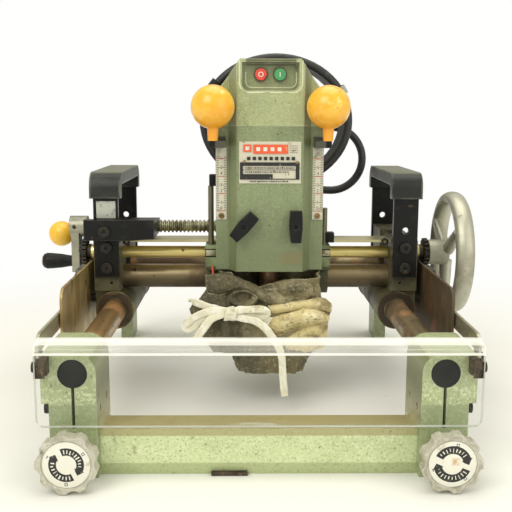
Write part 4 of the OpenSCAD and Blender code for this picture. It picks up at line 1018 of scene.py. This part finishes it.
addFinish(
    "rustyPlate", (0.50, 0.37, 0.14), 0.42,
    [stain((0.24, 0.15, 0.06), 17, 0.44, 0.60, 3, stretch=(1, 1, 0.4), amount=0.8),
     zone((0.075, 0.046, 0.022), low=(0, -1, -1), rough=0.6, metal=0.1),
     stain((0.20, 0.085, 0.035), 26, 0.52, 0.64, 12, stretch=(1, 1, 0.7),
           within=rightHalf, amount=0.7),
     stain((0.13, 0.10, 0.055), 30, 0.50, 0.64, 27, stretch=(1, 1, 0.6),
           within=rightHalf, amount=0.7),
     stain((0.60, 0.49, 0.25), 12, 0.55, 0.7, 8, stretch=(1, 0.6, 0.3), rough=0.3,
           metal=0.8, within=leftHalf),
     stain((0.06, 0.045, 0.02), 40, 0.52, 0.64, 5, stretch=(1, 1, 0.5), amount=0.75)],
    metal=0.35, bump=grain(160, 0.25))
addFinish(
    "brassShaft", (0.90, 0.75, 0.32), 0.28,
    [stain((0.42, 0.32, 0.13), 16, 0.48, 0.64, 3, stretch=(0.3, 1, 1), rough=0.45),
     stain((0.95, 0.90, 0.66), 20, 0.58, 0.70, 9, stretch=(0.25, 1, 1)),
     stain((0.12, 0.08, 0.03), 70, 0.63, 0.7, 12, rough=0.7),
     zone((0.07, 0.062, 0.045), low=(0.2085, -1, -1), soft=0.0005, rough=0.5, metal=0.7),
     zone((0.07, 0.062, 0.045), high=(-0.2085, 1, 1), soft=0.0005, rough=0.5, metal=0.7)],
    metal=0.75, bump=grain(500, 0.1))
addFinish(
    "castAluminium", (0.50, 0.49, 0.40), 0.4,
    [stain((0.34, 0.33, 0.25), 18, 0.46, 0.68, 4, rough=0.55),
     stain((0.18, 0.17, 0.13), 80, 0.62, 0.72, 9, rough=0.6),
     wear((0.80, 0.79, 0.70), 0.6, 70, 0.002, rough=0.28)],
    metal=0.7, bump=grain(300, 0.25, 0.0004), soft=0.002)
addFinish("screwSteel", (0.38, 0.37, 0.25), 0.3,
          [stain((0.12, 0.11, 0.07), 60, 0.45, 0.62, 3, rough=0.5),
           wear((0.75, 0.72, 0.6), 0.8, 100, 0.0007)],
          metal=0.9, bump=grain(400, 0.2))
addFinish("crankMetal", (0.40, 0.39, 0.30), 0.4,
          [stain((0.2, 0.195, 0.17), 24, 0.46, 0.68, 3),
           stain((0.08, 0.075, 0.06), 90, 0.62, 0.7, 5, rough=0.6),
           wear((0.6, 0.6, 0.55), 0.6, 80, 0.0016)],
          metal=0.65, bump=grain(280, 0.25), soft=0.002)
addFinish(
    "saddlePaint", (0.34, 0.42, 0.22), 0.45,
    [stain((0.18, 0.195, 0.095), 18, 0.46, 0.64, 3, rough=0.6),
     # painted shadow: the saddle's lower front nearly black
     zone((0.05, 0.042, 0.025), low=(-1, -1, -1), high=(1, 0.26, 0.159), soft=0.003, amount=0.85),
     stain((0.28, 0.18, 0.08), 30, 0.58, 0.7, 9, amount=0.7),
     wear((0.38, 0.38, 0.28), 0.7, 90)],
    bump=grain(220, 0.3), soft=0.0012)
addFinish("bronze", (0.36, 0.25, 0.11), 0.35,
          [stain((0.14, 0.09, 0.04), 60, 0.5, 0.66, 3)], metal=0.9,
          bump=grain(400, 0.15))
addFinish("oiledSteel", (0.20, 0.185, 0.12), 0.35,
          [stain((0.09, 0.065, 0.035), 30, 0.45, 0.64, 5, stretch=(1, 1, 0.3))],
          metal=0.7, bump=grain(300, 0.2))
addFinish("printedPlate", (0.67, 0.64, 0.51), 0.35,
          [stain((0.5, 0.44, 0.3), 60, 0.58, 0.72, 3),
           stain((0.16, 0.11, 0.06), 200, 0.63, 0.69, 6),
           *(stain((0.06, 0.055, 0.04), 70, 0.40, 0.56, 8, within=(
               (x, -1, 0.292), (x + 0.014, 1, 0.33))) for x in (-0.048, 0.063))],
          metal=0.1, soft=0.0003)
addFinish(
    "orangeBall", (0.93, 0.46, 0.03), 0.24,
    [stain((0.97, 0.62, 0.07), 26, 0.42, 0.62, 3),
     stain((0.98, 0.76, 0.24), 70, 0.56, 0.68, 4, amount=0.7),
     # painted shade: the balls a deeper orange on their lower half
     zone((0.88, 0.35, 0.018), high=(1, 1, 0.356), soft=0.024, amount=0.75),
     stain((0.55, 0.20, 0.02), 110, 0.63, 0.70, 8, amount=0.7),
     wear((0.98, 0.74, 0.28), 0.3, 60)],
    coat=0.3, bump=grain(300, 0.08), soft=0)
addFinish("greyStrap", (0.36, 0.35, 0.30), 0.8,
          [stain((0.2, 0.19, 0.15), 90, 0.5, 0.66, 3)],
          bump=grain(900, 0.4), soft=0)
addFinish(
    "leverMetal", (0.96, 0.53, 0.04), 0.24,
    [stain((0.98, 0.66, 0.10), 20, 0.45, 0.65, 3),
     zone((0.10, 0.09, 0.07), low=(-0.2465, -9, -9), soft=0.0006, rough=0.4, metal=0.8)],
    bump=grain(300, 0.1), soft=0.0006)
addFinish("motorIron", (0.22, 0.14, 0.08), 0.4,
          [stain((0.4, 0.2, 0.08), 120, 0.5, 0.6, 3)], metal=0.7,
          bump=grain(600, 0.3, stretch=(0.05, 0.05, 1)))
addFinish("brightSteel", (0.55, 0.55, 0.54), 0.25,
          [stain((0.35, 0.34, 0.32), 50, 0.5, 0.7, 3)], metal=1.0,
          bump=grain(500, 0.1))
addFinish("creamPlastic", (0.62, 0.58, 0.45), 0.4,
          [stain((0.4, 0.36, 0.26), 80, 0.55, 0.7, 3),
           # painted shade: the switch box's front as dark as the shaded recess round it
           zone((0.13, 0.135, 0.08), high=(1, 0.169, 1))],
          bump=grain(500, 0.1))
addFinish("redButton", (0.72, 0.07, 0.045), 0.32,
          [stain((0.5, 0.04, 0.03), 150, 0.5, 0.7, 3)], coat=0.3,
          bump=grain(400, 0.08))
addFinish("greenButton", (0.07, 0.33, 0.12), 0.32,
          [stain((0.04, 0.2, 0.08), 150, 0.5, 0.7, 3)], coat=0.3,
          bump=grain(400, 0.08))
addFinish("blackMoulding", (0.010, 0.010, 0.0105), 0.40,
          [stain((0.026, 0.026, 0.024), 60, 0.55, 0.72, 3, rough=0.6),
           wear((0.14, 0.145, 0.12), 0.8, 60)],
          bump=grain(600, 0.12), soft=0.001, spec=0.22)
# pale beads: painted highlights along the rim of the buttons' recess
addFinish("rimHighlightBead", (0.66, 0.69, 0.46), 0.3,
          [stain((0.40, 0.43, 0.25), 60, 0.50, 0.62, 3)], coat=0.3, soft=0)


# painted highlights as bands: along the bottom edge and the sides, at the bend and on the lip
# above it, and a line below the bend
sheetSettings = {"clear": 0.006, "haze": 0.025, "edge": 0.7, "scratch": 0.4,
                 "highlightBands": [((-1, -1, 0.05), (1, 1, 0.0602), 0.0005, 0.6),
                           ((-1, -1, 0.05), (-0.2036, 1, 0.14), 0.0005, 0.6),
                           ((0.2036, -1, 0.05), (1, 1, 0.14), 0.0005, 0.6),
                           ((-1, -1, 0.1352), (1, 1, 0.1386), 0.0006, 0.55),
                           ((-1, -1, 0.1388), (1, 1, 0.2), 0.0004, 0.30),
                           ((-1, -1, 0.1268), (1, 1, 0.1290), 0.0005, 0.6),
                           ((-1, -1, 0.1266), (1, 1, 0.2), 0.001, 0.10)]}


def makeClearSheet():
    # scuffed clear sheet: mostly see-through, with painted highlights along its bend and its
    # edges, and bright along its scratches
    s = sheetSettings
    mat = layered("clearSheet", (0.58, 0.62, 0.55), 0.1,
                  [zone((0.97, 0.97, 0.93), low=(-1, -1, 0.1262))],
                  bump=grain(40, 0.06, stretch=(0.3, 1, 1)), soft=0.0012)
    tree = mat.node_tree
    haze = maskNode(tree, stainGroup, Scale=14, Stretch=(0.4, 1, 1.6), Low=0.35, High=0.85)
    scratch = maskNode(tree, stainGroup, Scale=60, Stretch=(0.18, 1, 1.7), Low=0.655,
                       High=0.70, Seed=4)
    edge = maskNode(tree, edgeGroup, Radius=0.0018, Breakup=12, Amount=0.8)
    terms = [(haze, s["haze"]), (scratch, s["scratch"]), (edge, s["edge"])]
    terms += [(maskNode(tree, zoneGroup, Low=low, High=high, Soft=soft), amount)
              for low, high, soft, amount in s["highlightBands"]]
    total = s["clear"]
    for mask, amount in terms:
        add = addNode(tree, "Math", {0: mask, 1: amount, 2: total}, "MULTIPLY_ADD")
        add.use_clamp = True
        total = add.outputs[0]
    feed(tree, tree.nodes["Principled BSDF"], {"Alpha": total})
    return mat


materials["clearSheet"] = makeClearSheet()

nodesOf = {
    "castingPaint": ("front_casting", "rear_casting"), "rustyBar": ("guide_bars", "cross_bars"),
    "blackPlug": ("bar_end_plugs",), "darkBolt": ("frame_screws", "carriage_screws"),
    "bareSheet": ("side_rails",),
    "greasySteel": ("gear_racks", "left_clamp_screw", "right_clamp_screw"),
    "brownSteel": ("shield_brackets", "shield_ears"),
    "knobPlastic": ("left_clamp_knob", "right_clamp_knob"), "clearSheet": ("front_shield",),
    "oliveCasting": ("left_bracket", "right_bracket"), "rustRing": ("slider_bushes",),
    "paleStrip": ("cover_strip",),
    "blackEnamel": ("carry_handles", "screw_bearing", "grip_arms", "cord_hanger"),
    "blackGrip": ("handle_grips",), "rustyPlate": ("side_plates",), "leverMetal": ("lock_lever",),
    "brassShaft": ("feed_shaft",), "castAluminium": ("handwheel",), "screwSteel": ("lead_screw",),
    "crankMetal": ("crank_arm",),
    "blackMoulding": ("crank_handle", "brush_holders", "cord_gland", "left_lock_knob",
                      "right_lock_knob", "fan", "cord_ends", "cord_coil", "cord_plug"),
    "saddlePaint": ("saddle",), "bronze": ("saddle_bushes",), "oiledSteel": ("guide_columns",),
    "headPaint": ("head_housing",), "coverPaint": ("head_cover",),
    "printedPlate": ("name_plate", "scale_plates"), "orangeBall": ("ball_grips",),
    "motorIron": ("stator", "armature"),
    "brightSteel": ("motor_bearings", "collet_nut", "cutter", "plunge_springs"),
    "creamPlastic": ("switch_box", "canvas_bag", "bag_string"), "redButton": ("stop_button",),
    "greenButton": ("start_button",),
}
for finish, names in nodesOf.items():
    for name in names:
        nodes[name].data.materials.clear()
        nodes[name].data.materials.append(materials[finish])
print("carried-over parts painted")


def dress(obj, mat, body):
    obj.data.materials.clear()
    obj.data.materials.append(mat)
    smoothByAngle(obj)
    if body:
        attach(obj, body)
    return obj


def addBox(name, low, high, mat, body, bevel=0.4):
    # a small block between two corners in millimetres, with its edges eased
    size = [b - a for a, b in zip(low, high)]
    middle = [(a + b) / 2 for a, b in zip(low, high)]
    deselect()
    bpy.ops.mesh.primitive_cube_add(size=1, location=place(*middle))
    obj = bpy.context.object
    obj.scale = [v / 1000 for v in size]
    easeEdges(settle(obj, name), bevel / 1000)
    return dress(obj, mat, body)


def polar(centre, radius, degrees):
    a = math.radians(degrees)
    return centre[0] + radius * math.cos(a), centre[1] + radius * math.sin(a)


def addRound(name, centre, radius, depth, mat, body, bevel=0.3, sides=40, turn=None):
    # a disc that faces -Y, its back at the centre's Y; with a turn it gets a driver's slot
    x, y, z = centre
    low = depth if turn is None else depth * 0.55
    deselect()
    bpy.ops.mesh.primitive_cylinder_add(vertices=sides, radius=radius / 1000,
                                        depth=low / 1000, location=place(x, y - low / 2, z),
                                        rotation=(math.radians(90), 0, 0))
    obj = settle(bpy.context.object, name)
    easeEdges(obj, bevel / 1000)
    if turn is not None:
        halves = [[polar((x, z), radius * 0.9, turn + way + a) for a in range(12, 169, 6)]
                  for way in (0, 180)]
        top = flatPiece("slotTop", halves, y - low + 0.1, depth - low, mat, None)
        obj = joinAll([obj, top], name)
    return dress(obj, mat, body)


def flatPiece(name, outlines, y, depth, mat, body):
    # flat printed shapes that face -Y, raised a little so that they never flicker
    data = bpy.data.meshes.new(name)
    verts, faces = [], []
    for outline in outlines:
        n, start = len(outline), len(verts)
        for dy in (-depth, 0):
            verts += [tuple(place(x, y + dy, z)) for x, z in outline]
        faces.append(tuple(range(start, start + n)))
        faces.append(tuple(reversed(range(start + n, start + 2 * n))))
        faces += [(start + i, start + n + i, start + n + (i + 1) % n, start + (i + 1) % n)
                  for i in range(n)]
    data.from_pydata(verts, [], faces)
    obj = bpy.data.objects.new(name, data)
    scene.collection.objects.link(obj)
    pointOutwards(obj)
    return dress(obj, mat, body)


def rectangle(x0, x1, z0, z1):
    return [(x0, z0), (x1, z0), (x1, z1), (x0, z1)]


printBlack = layered("printBlack", (0.018, 0.018, 0.018), 0.5,
                     [stain((0.30, 0.28, 0.22), 220, 0.6, 0.7, 3)], soft=0)
printRed = layered("printRed", (0.80, 0.12, 0.04), 0.45,
                   [stain((0.86, 0.40, 0.24), 160, 0.56, 0.68, 5)], soft=0)
printWhite = layered("printWhite", (0.80, 0.79, 0.70), 0.45,
                     [stain((0.55, 0.50, 0.38), 60, 0.56, 0.7, 4),
                      stain((0.58, 0.30, 0.10), 110, 0.30, 0.46, 14, amount=0.85,
                            withinSoft=0.003, within=((0.1735, -1, 0.0275), (0.182, 1, 0.036))),
                      stain((0.3, 0.24, 0.14), 200, 0.64, 0.7, 9)], soft=0)
scaleRed = layered("scaleRed", (0.42, 0.07, 0.05), 0.5, soft=0)

# printed discs in the clamp knobs: two arrows that chase each other, with plain ticks
discSettings = {"radius": 21.8, "face": -37, "ring": (9.2, 16.1), "centreZ": 29.5,
                "left": (-175, 0, 1), "right": (175, 43, 1.08),
                "arcs": [(110, -133, -46), (-65, -141, 134)],
                "squares": (34, -92), "dash": 155, "markRadius": 18.6}


def arcArrow(centre, low, high, start, sweep, tip):
    # an arc with a broad head, as an outline in the knob's face
    steps = [start + sweep * k / 30 for k in range(31)]
    outer = [polar(centre, high, a) for a in steps]
    inner = [polar(centre, low, a) for a in steps]
    head = [polar(centre, high + 1.3, steps[-1]), polar(centre, high * 0.86, tip),
            polar(centre, low + 0.6, tip + 9), polar(centre, low - 1.2, steps[-1])]
    return outer + head + inner[::-1]


def turnedBox(centre, radius, degrees, wide, tall):
    # a rectangle that stands on a ray from the centre, wide along the ring
    a = math.radians(degrees)
    ray, side = (math.cos(a), math.sin(a)), (-math.sin(a), math.cos(a))
    at = polar(centre, radius, degrees)
    return [(at[0] + u * wide / 2 * side[0] + v * tall / 2 * ray[0],
             at[1] + u * wide / 2 * side[1] + v * tall / 2 * ray[1])
            for u, v in ((-1, -1), (1, -1), (1, 1), (-1, 1))]


def makeKnobDiscs():
    s = discSettings
    random.seed(11)
    for side in ("left", "right"):
        x, turn, grow = s[side]
        low, high = (v * grow for v in s["ring"])
        centre = (x, s["centreZ"])
        body = side + "_clamp"
        addRound(side + "Disc", (x, s["face"], s["centreZ"]), s["radius"], 0.5, printWhite,
                 body, 0.15, 64)
        arcs = [arcArrow(centre, low, high, turn + start, sweep, turn + tip)
                for start, sweep, tip in s["arcs"]]
        marks = [turnedBox(centre, s["markRadius"], turn + s["dash"], 2.6, 0.8)]
        for a in s["squares"]:
            for k in (-1, 1):
                marks.append(turnedBox(centre, s["markRadius"] + 1.1 * k, turn + a, 2.7, 0.5))
                marks.append(turnedBox(centre, s["markRadius"], turn + a + 3.4 * k, 0.5, 2.7))
        flatPiece(side + "Arrows", arcs + marks, s["face"] - 0.5, 0.12, printBlack, body)
        ticks = []
        for start, sweep, tip in s["arcs"]:
            for k in range(9):
                a = turn + start + sweep * (0.09 + 0.098 * k)
                ticks.append(turnedBox(centre, (low + high) / 2 + random.uniform(-0.5, 0.5),
                                       a, random.uniform(0.5, 1.3), random.uniform(2.6, 4.2)))
        flatPiece(side + "Ticks", ticks, s["face"] - 0.62, 0.06, printWhite, body)


makeKnobDiscs()
print("knob discs printed")

# the name plate's print, in plain blocks and bars
plateSettings = {
    "left": -35, "top": 210, "face": 190,
    "red": [(4.9, 13.8, 3.4, 11.6), (16, 55, 3.4, 13.6)],
    "pale": [(7.2, 11.5, 5.4, 9.6), *((x, x + 4.2, 6.4, 10.6) for x in (19.4, 27.4, 35.4, 43.4))],
    "black": [(x, x + 3.8, 17, 20.8) for x in (9, 15.3, 21.6, 27.9, 34.2, 40.5, 46.8, 53.1, 59.4)],
    "frame": [(1, 68.2, 23.2, 27.2), (1, 4.4, 27.2, 42.6), (64, 68.2, 27.2, 42.6),
              (4.4, 38, 36.4, 42.6), (38, 64, 41.6, 42.6), (4.4, 64, 31.4, 32)],
    "rows": [(28.4, 24, 7.0, 61), (33.0, 22, 7.0, 61), (43.6, 20, 12, 56)],
    "ticks": [(56.8, 66.5, v, v + 0.35) for v in (4.6, 7, 9.4, 11.8)],
    "rivets": [(6, 22.4), (65.6, 23.2)],
}


def makePlatePrint():
    s = plateSettings

    def outline(box):
        return rectangle(headX + s["left"] + box[0], headX + s["left"] + box[1],
                         barZ + s["top"] - box[3], barZ + s["top"] - box[2])

    flatPiece("plateRed", [outline(b) for b in s["red"]], s["face"], 0.08, printRed, "head")
    flatPiece("platePale", [outline(b) for b in s["pale"]], s["face"] - 0.08, 0.06, printWhite,
              "head")
    random.seed(5)
    small = []
    for top, count, at, end in s["rows"]:
        for k in range(count):
            wide = random.uniform(0.8, 2.4)
            small.append((at, at + wide, top + 0.5, top + 1.7))
            at += wide + random.uniform(0.4, 1.1)
            if at > end:
                break
    black = s["black"] + s["frame"] + small + s["ticks"]
    flatPiece("plateBlack", [outline(b) for b in black], s["face"], 0.08, printBlack, "head")
    for k, (u, v) in enumerate(s["rivets"]):
        addRound("plateRivet" + str(k), (headX + s["left"] + u, s["face"], barZ + s["top"] - v),
                 1.7, 0.9, materials["bronze"], "head", 0.4, 20)


makePlatePrint()
print("name plate printed")

# a raised lip round the buttons' recess and another at its floor; both are pale, as painted
# highlights along the recess's rounded rim
lipSettings = {"outerLip": (-20, 50.2, 367, 402, 10, 192.5, 0.95),
               "innerLip": (-13.4, 44.3, 372.6, 390, 7, 204.2, 0.95)}


def makeLips():
    for name, (x0, x1, z0, z1, r, y, radius) in lipSettings.items():
        way = [(x0, z1)]
        way += [polar((x0 + r, z0 + r), r, a) for a in range(180, 271, 10)]
        way += [polar((x1 - r, z0 + r), r, a) for a in range(270, 361, 10)]
        way.append((x1, z1))
        pickOnly(curveThrough(name, [place(x, y, z) for x, z in way], radius / 1000, 4))
        bpy.ops.object.convert(target="MESH")
        dress(settle(bpy.context.object, name), materials["rimHighlightBead"], "head")


makeLips()

# plain marks on the buttons: a ring for off and a bar for on
markSettings = {"ring": ((3.8, 387), 2.1, 2.9), "bar": (24.7, 25.7, 384.6, 389.4),
                "face": 195.6, "depth": 0.2}


def makeMarks():
    s = markSettings
    centre, inner, outer = s["ring"]
    halves = [[polar(centre, outer, way + a) for a in range(0, 181, 12)]
              + [polar(centre, inner, way + a) for a in range(180, -1, -12)]
              for way in (0, 180)]
    flatPiece("offMark", halves, s["face"], s["depth"], printWhite, "stop_push")
    flatPiece("onMark", [rectangle(*s["bar"])], s["face"], s["depth"], printWhite,
              "start_push")


makeMarks()
print("button lips and marks made")

# the depth scales: red lines every 20 mm, black ticks and plain numbers
scaleSettings = {"inner": 49.5, "outer": 61.5, "face": 205.8, "low": 130, "lines": 32,
                 "red": (130, 150, 170, 190), "screw": 124.4, "figure": 5.2}


def figure(text, x, y, z, size):
    deselect()
    bpy.ops.object.text_add(location=place(x, y, z), rotation=(math.radians(90), 0, 0))
    obj = bpy.context.object
    obj.data.body = text
    obj.data.size = size / 1000
    obj.data.align_x = "CENTER"
    obj.data.align_y = "CENTER"
    obj.data.extrude = 0.00006
    obj.data.resolution_u = 3
    bpy.ops.object.convert(target="MESH")
    return settle(bpy.context.object, "figure" + text)


def makeScales():
    s = scaleSettings
    for label, side in bothSides:
        x0, x1 = sorted((headX + s["inner"] * side, headX + s["outer"] * side))
        red = [rectangle(x0 + 0.3, x1 - 0.3, barZ + r - 0.45, barZ + r + 0.45)
               for r in s["red"]]
        flatPiece(label + "ScaleLines", red, s["face"], 0.08, scaleRed, "head")
        ticks = []
        for k in range(s["lines"]):
            r = s["low"] + 2 * k
            if r in s["red"]:
                continue
            reach = 4.2 if k % 5 == 0 else 2.6
            for start in (x0 + 0.5, x1 - 0.5 - reach):
                ticks.append(rectangle(start, start + reach, barZ + r - 0.3, barZ + r + 0.3))
        places = [(k, 0) for k in range(1, 7) if s["low"] + 10 * k not in s["red"]]
        places += [(k, 3.2) for k in (0, 2, 4)]
        figures = [figure(str(k), (x0 + x1) / 2, s["face"] - 0.05,
                          barZ + s["low"] + 10 * k + up, s["figure"]) for k, up in places]
        marks = joinAll(figures, label + "ScaleFigures")
        dress(marks, printBlack, "head")
        flatPiece(label + "ScaleTicks", ticks, s["face"], 0.08, printBlack, "head")
        addRound(label + "ScaleScrew", ((x0 + x1) / 2, s["face"], barZ + s["screw"]), 3.4,
                 2.4, materials["bronze"], "head", 0.4, 32, turn=25 * side)


makeScales()
print("depth scales made")

# small hardware on the saddle's rods, and the red pointer under the left ear
hardware = {
    "rodClamp": ((86.8, 262, 187.5), (96.4, 275, 200), 0.8, "blackMoulding", "cross_slide"),
    "rodStop": ((-57.4, 262, 257), (-48.6, 275, 271), 0.9, "blackMoulding", "cross_slide"),
    "beamPlate": ((-46, 3.2, 0.1), (-11, 9.4, 3.9), 0.5, "brownSteel", "frame"),
}
for label, side in bothSides:
    x0, x1 = sorted((headX + 63.1 * side, headX + 77.4 * side))
    hardware[label + "EarSlot"] = ((x0, 261.4, 169.4), (x1, 262.6, 179.6), 0.5,
                                   "blackMoulding", "cross_slide")
    hardware[label + "EarCollar"] = ((x0 + 0.7, 259.6, 170.7), (x1 - 0.5, 262.2, 178.3), 1.1,
                                     "bareSheet", "cross_slide")
    addRound(label + "StripNut", (161 * side, 277, 187.5), 4.9, 6.5, materials["darkBolt"],
             "carriage", 0.8, 6)
    addRound(label + "StripStud", (161 * side, 270.7, 187.5), 2.2, 2.4, materials["oiledSteel"],
             "carriage", 0.5, 20)
for name, (low, high, ease, mat, body) in hardware.items():
    addBox(name, low, high, materials[mat], body, ease)
print("small hardware made")


def addRod(name, start, end, radius, mat, body):
    a, b = place(*start), place(*end)
    deselect()
    bpy.ops.mesh.primitive_cylinder_add(vertices=24, radius=radius / 1000,
                                        depth=(b - a).length, location=(a + b) / 2)
    obj = bpy.context.object
    obj.rotation_euler = (b - a).to_track_quat("Z", "Y").to_euler()
    easeEdges(settle(obj, name), radius / 4000)
    return dress(obj, mat, body)


pointerSettings = {"top": (-52, 216, 166.5), "tip": (-51, 214, 153), "radius": 1.2}
addRod("redPointer", pointerSettings["top"], pointerSettings["tip"],
       pointerSettings["radius"], printRed, "head")

# ties round the coiled cord
tieSettings = {"angles": (118, 236), "finishes": ("greyStrap", "blackMoulding"),
               "width": 11, "thick": 1.5, "spare": 2.2}


def makeTies():
    s = tieSettings
    c = cordSettings
    cx, cz = c["coilCentre"]
    mid = c["coilFront"] + c["coilStep"] * c["coilTurns"] / 2
    halfR = c["radius"] * 1000 + s["spare"]
    halfY = c["coilStep"] * c["coilTurns"] / 2 + halfR
    for k, angle in enumerate(s["angles"]):
        a = math.radians(angle)
        hub = Vector((cx + c["coilHalfWidth"] * math.sin(a), mid,
                      cz - c["coilHalfHeight"] * math.cos(a)))
        out = Vector((math.sin(a) / c["coilHalfWidth"], 0,
                      -math.cos(a) / c["coilHalfHeight"])).normalized()
        along = out.cross(Vector((0, 1, 0)))
        rows = []
        for side, grow in ((-0.5, 0), (0.5, 0), (0.5, s["thick"]), (-0.5, s["thick"]),
                           (-0.5, 0)):
            row = []
            for j in range(48):
                t = 2 * math.pi * j / 48
                y = (halfY + grow) * rounded(math.cos(t), 0.35)
                r = (halfR + grow) * rounded(math.sin(t), 0.6)
                q = hub + out * r + Vector((0, 1, 0)) * y + along * side * s["width"]
                row.append(atHead(*q))
            rows.append(row)
        tie = gridObject("cordTie" + str(k), rows, closed=True)
        startEdit(tie)
        bpy.ops.mesh.remove_doubles(threshold=0.00001)
        endEdit()
        pointOutwards(tie)
        dress(tie, materials[s["finishes"][k]], "head")


makeTies()

# a blank pale label on the left handle
labelMat = layered("blankLabel", (0.50, 0.51, 0.45), 0.4,
                   [stain((0.26, 0.26, 0.22), 70, 0.50, 0.62, 5),
                    stain((0.06, 0.06, 0.055), 160, 0.60, 0.68, 9)], soft=0.0003)
labelSettings = {"low": (-193.2, 249.75, 218.8), "high": (-170, 250.3, 239.6), "ease": 0.15}
addBox("blankLabel", labelSettings["low"], labelSettings["high"], labelMat, "carriage",
       labelSettings["ease"])
print("ties, pointer and label made")

low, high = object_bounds()
